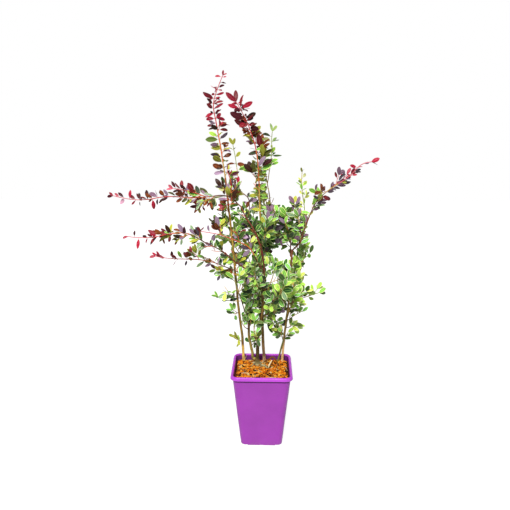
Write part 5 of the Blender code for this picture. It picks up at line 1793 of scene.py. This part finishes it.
class Grower:
    """Grows finer twigs and leaves from the stem of one mass by the source's rule."""

    def __init__(self, name, spec, limbs, space, sight, store):
        (parent, share, radius, leaf, node, twig, every, leaves, habit, style, route, forks) = spec
        self.name = name
        self.space = space
        self.sight = sight
        self.store = store
        self.chance = random.Random(name)
        self.style = TWIG_STYLES[style]
        self.node = self.take_habit(habit, leaf, node, every)
        self.twig = twig * MM
        self.leaves = leaves
        self.taken = []
        self.sparse_from = SPARSE_FROM if style in LONG_STYLES else 1.0
        self.twig_leaves = 2 if style in ("leader", "arm") else 1
        self.lower_part = LOWER_PARTS.get(name, LOWER_PART)
        points = [millimetres(point) for point in route]
        start = grow_from(limbs[parent], share, points[0], radius * MM)
        end_leaf = self.leaf * self.tip_size
        stout = radius * MM * STEM_STOUTNESS
        self.stem = Shoot(start + points, stout, STEM_TIP, TWIG_STEP, end_leaf=end_leaf)
        self.axes = [(self.stem, 0.0, 1.0)]
        for fraction, fork_route in forks:
            base, _, fork_radius = self.stem.at(fraction)
            fork_points = [base] + [millimetres(point) for point in fork_route]
            fork = Shoot(fork_points, fork_radius * FORK_RADIUS_RATIO, STEM_TIP, TWIG_STEP,
                         end_leaf=end_leaf)
            self.axes.append((fork, fraction, 1.0))
        for axis, _, _ in self.axes:
            space.add_shoot(axis, STEM_PAD)
            if style in LONG_STYLES:
                sight.show(axis, 0.0, 1.0, STEM_MARGIN)

    def take_habit(self, habit, leaf, node, every):
        """Take on a habit with its source's sizes in mm, and give the node spacing."""
        (size, spacing, self.lean, self.level, self.width, self.blunt, self.tip_size, self.twig_last,
         self.full_low, self.full_high, mixtures) = HABITS[habit]
        self.palette = [(place, mixture_weights(mixture)) for place, mixture in mixtures]
        self.solid_leaf = leaf * MM
        self.leaf = self.solid_leaf * size
        self.every = max(1, round(every / spacing))
        return node * MM * spacing

    def grow(self):
        for axis, low, high in self.axes:
            self.clothe(axis, self.node, self.leaves, self.twig, low, high, 0)
            self.draw(axis, low, high)

    def clothe_limb(self, limb, entry):
        """Leaves and twigs on the limb that this mass grows from."""
        (_, start, leaf, node, twig, every, leaves, habit) = entry
        spacing = self.take_habit(habit, leaf, node, every)
        self.twig_last = 1.0
        self.clothe(limb, spacing, leaves, twig * MM, 0.0, LIMB_AGE, 0, start)

    def clothe(self, axis, node, leaves, twig, low, high, depth, start=0.0):
        """Set leaves, side twigs and spines along an axis, from a share of its length on."""
        turn = any_angle(self.chance)
        distance = axis.length * start + node * FIRST_NODE
        index = 0
        while distance < axis.length - node * LAST_NODE:
            share = distance / axis.length
            age = mix(low, high, share)
            point, tangent, radius = axis.at(share)
            outward = Quaternion(tangent, turn) @ tangent.orthogonal().normalized()
            axis.nodes.append(distance)
            bare = depth == 0 and share < self.lower_part and self.chance.random() > self.full_low
            if twig > 0.0 and index % self.every == 0 and share < self.twig_last and not bare:
                reach = twig * (TWIG_REACH_FOOT - TWIG_REACH_LOSS * share)
                reach *= self.chance.uniform(*TWIG_SPREAD)
                reach += (self.solid_leaf - self.leaf) * END_LEAF_RATIO
                self.side_twig(point, tangent, outward, reach, age, depth)
            else:
                colour = self.pick(age)
                for k in range(self.leaves_here(leaves, share, depth)):
                    aside = Quaternion(tangent, k * FELLOW_ANGLE) @ outward
                    scale = max(FELLOW_LEAST, 1.0 - FELLOW_LOSS * k)
                    self.leaf_at(point, tangent, aside, radius, share, age, scale, colour)
            if depth == 0 and self.chance.random() < SPINE_SHARE:
                self.spine(point, tangent, outward, radius)
            turn += GOLDEN_ANGLE
            index += 1
            distance += node * self.chance.uniform(*NODE_SPREAD)
        if start == 0.0:
            self.end_leaf(axis, high)

    def leaves_here(self, leaves, share, depth):
        """How many leaves a node carries."""
        fullness = 1.0 if depth > 0 else self.full_low if share < self.lower_part else self.full_high
        if fullness < 1.0:
            return leaves if self.chance.random() < fullness else 0
        more = int(fullness) - 1
        more += 1 if self.chance.random() < fullness % 1.0 else 0
        if leaves > 1:
            more += self.chance.choice(LEAF_CHANGES)
        if depth == 0 and share > self.sparse_from:
            return max(1, (leaves + more) // 2)
        return leaves + more

    def side_twig(self, point, tangent, outward, reach, age, depth):
        """A side twig, turned round its stem where there is no room for it."""
        for attempt in range(TWIG_TRIES):
            aside = Quaternion(tangent, attempt * RETRY_ANGLE) @ outward
            heading = (tangent * TWIG_ALONG + aside * TWIG_ASIDE + TWIG_LIFT).normalized()
            length = reach * (1.0 - TWIG_RETRY_LOSS * attempt)
            bend = tangent * length * TWIG_BEND
            route = [point, point + heading * length * TWIG_MIDDLE, point + heading * length + bend]
            twig = Shoot(route, SIDE_TWIG_RADIUS, TWIG_TIP, SIDE_TWIG_STEP)
            free_path = twig.path[TWIG_FREE_FROM:]
            body = MeshParts()
            radii = [TWIG_TIP] * len(free_path)
            body.add_tube(free_path, radii, TWIG_BODY_SIDES, [0] * len(free_path))
            if self.space.clear(body.points, body.faces):
                self.space.add_shoot(twig, TWIG_PAD)
                high = min(1.0, age + TWIG_AGE_GAIN * (1.0 - age) + TWIG_AGE_LEAD)
                sub_reach = length * SUB_TWIG_RATIO if length > SUB_TWIG_LEAST and depth == 0 else 0.0
                before = self.store.leaf_count
                self.clothe(twig, TWIG_NODE, self.twig_leaves, 0.0, age, high, depth + 1)
                if sub_reach > 0.0:
                    self.sub_twigs(twig, sub_reach, age, high)
                if self.store.leaf_count > before:
                    self.draw(twig, age, high)
                return

    def sub_twigs(self, twig, reach, low, high):
        """Up to two short twigs on a side twig."""
        turn = any_angle(self.chance)
        for share in SUB_TWIG_PLACES:
            point, tangent, _ = twig.at(share)
            outward = Quaternion(tangent, turn) @ tangent.orthogonal().normalized()
            length = reach * self.chance.uniform(*SUB_TWIG_SPREAD)
            self.side_twig(point, tangent, outward, length, mix(low, high, share), 1)
            turn += math.pi

    def end_leaf(self, axis, age):
        """Two leaves at the tip of an axis."""
        tip, tangent, _ = axis.at(1.0)
        colour = self.pick(age)
        for k, lean in enumerate(END_LEANS):
            aside = tangent.cross(AWAY).normalized() * lean
            heading = (tangent + Quaternion(tangent, k * END_TURN) @ aside).normalized()
            size = self.leaf * self.tip_size * (1.0 - END_LOSS * k)
            self.place_leaf(tip, tip, heading, size, age, colour)

    def leaf_at(self, point, tangent, outward, radius, share, age, scale, colour):
        """Try a leaf at a node, then turned round the twig and a little smaller."""
        size = self.leaf * scale * self.chance.uniform(*LEAF_SPREAD)
        size *= 1.0 - LEAF_TIP_LOSS * share
        if share < self.lower_part:
            size *= LOWER_LEAVES.get(self.name, 1.0)
        if share > TIP_FROM:
            tip_share = (share - TIP_FROM) / (1.0 - TIP_FROM)
            size *= mix(1.0, min(1.0, self.tip_size + TIP_SIZE_GAIN), tip_share)
        for attempt in range(LEAF_TRIES):
            aside = Quaternion(tangent, attempt * RETRY_ANGLE) @ outward
            lean = self.lean * self.chance.uniform(*LEAN_SPREAD)
            heading = tangent * lean + aside * LEAF_ASIDE + LEAF_LIFT
            heading.z = heading.z * self.level + self.chance.uniform(-LEAF_DIP, LEAF_DIP)
            heading.normalize()
            length = size * (1.0 - LEAF_RETRY_LOSS * attempt)
            base = point + aside * radius + heading * PETIOLE
            root = point + aside * radius * STALK_ROOT
            if self.place_leaf(root, base, heading, length, age, colour):
                return

    def place_leaf(self, root, base, heading, length, age, colour):
        """Keep a leaf if it is clear of the limbs and of its fellows."""
        chance = self.chance
        loose = random_vector(chance, -1, 1)
        to_light = AWAY if base.y > BACK_FROM else TO_LIGHT
        normal = UP * FACE_UP + to_light * FACE_LIGHT + loose * FACE_LOOSE
        if abs(normal.normalized().dot(heading)) > EDGE_ON:
            normal = heading.orthogonal()
        leaf = Leaf(base, heading, normal, length, self.width, self.blunt, chance)
        middle = leaf.point(LEAF_MIDDLE, 0.0)
        if any((middle - other).length < length * LEAF_SPACING_RATIO for other in self.taken):
            return False
        points, faces = leaf.proxy()
        if self.sight.hides(leaf) or not self.space.clear(points, faces):
            return False
        self.taken.append(middle)
        self.space.add(points, faces)
        kind = colour if chance.random() < SAME_COLOUR else self.pick(age)
        # A painted shaded, middle or lit copy of the colour
        painted_light_tone = chance.choices(range(len(LEAF_PAINTED_LIGHT_TONES)), weights=PAINTED_LIGHT_TONE_WEIGHTS)[0]
        self.store.add_leaf(self.name, kind, leaf, root, painted_light_tone)
        return True

    def pick(self, age):
        """A leaf colour for a place between the stem's foot and its tip."""
        lower, upper, part = along_stops(self.palette, age)
        weights = upper if self.chance.random() < part else lower
        return self.chance.choices(list(weights), weights=list(weights.values()))[0]

    def spine(self, point, tangent, outward, radius):
        """A sharp spine at a node."""
        lean = self.chance.uniform(*SPINE_LEAN)
        heading = (outward + tangent * lean - UP * SPINE_DROP).normalized()
        length = SPINE_LENGTH * self.chance.uniform(*SPINE_SPREAD)
        path = [point, point + heading * (radius + length * 0.5), point + heading * (radius + length)]
        radii = [SPINE_RADIUS * share for share in SPINE_TAPER]
        slot = list(TWIG_COLOURS).index("spine")
        self.store.add_twig(self.name, path, radii, SPINE_SIDES, [slot] * len(path))

    def draw(self, axis, low, high):
        """Give a stem or twig its surface, in the colours of its style."""
        names = list(TWIG_COLOURS)
        slots = []
        for mark in axis.marks:
            age = mix(low, high, mark / axis.length)
            name = self.style[0][1]
            for place, style_name in self.style:
                if age >= place:
                    name = style_name
            slots.append(names.index(name))
        self.store.add_twig(self.name, axis.path, axis.swollen_radii(), TWIG_SIDES, slots)


class Store:
    """Gathers leaves by colour and twigs by region, each with the masses they stand for."""

    def __init__(self):
        self.leaves = {}
        self.twigs = {}
        self.leaf_count = 0

    def parts_of(self, pieces, key, mass):
        parts, nodes = pieces.setdefault(key, (MeshParts(), []))
        if mass not in nodes:
            nodes.append(mass)
        return parts

    def add_leaf(self, mass, kind, leaf, root, painted_light_tone):
        add_leaf_mesh(self.parts_of(self.leaves, kind, mass), leaf, root, painted_light_tone)
        self.leaf_count += 1

    def add_twig(self, mass, path, radii, sides, slots):
        region = mass.split("_")[0]
        self.parts_of(self.twigs, region, mass).add_tube(path, radii, sides, slots)

    def make(self):
        twig_materials = [twig_material(name, colour) for name, colour in TWIG_COLOURS.items()]
        for region, (parts, nodes) in self.twigs.items():
            piece = parts.make("twigs_" + region, twig_materials, SOFT_CREASE)
            settle(piece, nodes[0] + "_foliage", *nodes)
        for kind, (parts, nodes) in self.leaves.items():
            piece = parts.make("leaves_" + kind, leaf_materials(kind), SOFT_CREASE)
            settle(piece, nodes[0] + "_foliage", *nodes)


def leaf_materials(kind):
    """Materials of one leaf colour, four for each painted light tone: shaded, middle and lit."""
    materials = []
    for painted_light_index, painted_light_tone in enumerate(LEAF_PAINTED_LIGHT_TONES):
        for part, colour in zip(LEAF_SIDES, LEAF_COLOURS[kind]):
            shade = tuple(min(BRIGHTEST, round(value * painted_light_tone)) for value in colour)
            gloss = UNDER_GLOSS if part == "under" else LEAF_GLOSS
            materials.append(leaf_material("leaf_%s_%s_%d" % (kind, part, painted_light_index), shade, gloss))
    return materials


def grow_foliage(limbs, solid_box):
    spare = Vector((REACH_SPARE, REACH_SPARE, REACH_SPARE))
    low = Vector(solid_box[0]) - spare
    low.z = FOLIAGE_FLOOR
    space = Space(low, Vector(solid_box[1]) + spare)
    sight = Sight(limbs)
    for limb in limbs.values():
        space.add_shoot(limb, LIMB_PAD)
    store = Store()
    growers = [Grower(name, spec, limbs, space, sight, store) for name, spec in MASSES.items()]
    for grower in growers:
        grower.grow()
    by_name = {grower.name: grower for grower in growers}
    for limb_name, entry in LEAFY_LIMBS.items():
        by_name[entry[0]].clothe_limb(limbs[limb_name], entry)
    store.make()


# Stage

def make_floor():
    floor = bmesh.new()
    bmesh.ops.create_grid(floor, x_segments=2, y_segments=2, size=FLOOR_HALF)
    obj = plain_object("studio_floor", floor)
    obj.data.materials.append(floor_material())
    obj.visible_diffuse = False


def key_light():
    """A broad soft light from above, in front and a little to the left."""
    lamp = bpy.data.lights.new("key_light", "SUN")
    lamp.energy = KEY_STRENGTH
    lamp.angle = KEY_ANGLE
    obj = add_object("key_light", lamp)
    obj.rotation_euler = Vector(KEY_FROM).to_track_quat("Z", "Y").to_euler()


def make_camera():
    camera = bpy.data.cameras.new("camera")
    camera.sensor_width = SENSOR_WIDTH
    camera.lens = FOCAL_PIXELS / PHOTO_WIDTH * SENSOR_WIDTH
    obj = add_object("camera", camera)
    obj.location = CAMERA_PLACE
    obj.rotation_euler = (CAMERA_TILT, 0.0, CAMERA_TURN)
    bpy.context.scene.camera = obj


def make_stage():
    scene = bpy.context.scene
    scene.view_settings.view_transform = "Standard"
    world = bpy.data.worlds.new("studio")
    world.use_nodes = True
    background = world.node_tree.nodes["Background"]
    background.inputs["Color"].default_value = (1.0, 1.0, 1.0, 1.0)
    rays = world.node_tree.nodes.new("ShaderNodeLightPath")
    strength = world.node_tree.nodes.new("ShaderNodeMapRange")
    strength.inputs["To Min"].default_value = AMBIENT_STRENGTH
    strength.inputs["To Max"].default_value = BACKDROP_STRENGTH
    world.node_tree.links.new(rays.outputs["Is Camera Ray"], strength.inputs["Value"])
    world.node_tree.links.new(strength.outputs["Result"], background.inputs["Strength"])
    scene.world = world
    key_light()
    make_floor()
    make_camera()


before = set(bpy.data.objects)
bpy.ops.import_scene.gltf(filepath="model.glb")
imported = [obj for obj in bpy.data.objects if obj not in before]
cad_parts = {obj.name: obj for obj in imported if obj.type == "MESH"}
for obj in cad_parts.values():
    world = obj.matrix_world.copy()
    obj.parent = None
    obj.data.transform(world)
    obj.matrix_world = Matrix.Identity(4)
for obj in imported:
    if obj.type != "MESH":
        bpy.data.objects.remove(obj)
solid_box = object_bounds()
noise.seed_set(WANDER_SEED)
make_stage()
make_pot()
make_soil_bed()
make_chips()
make_crumbs()
make_fibres()
plant_limbs = grow_limbs()
for limb_name, plant_limb in plant_limbs.items():
    make_bark(limb_name, plant_limb)
make_roots()
grow_foliage(plant_limbs, solid_box)
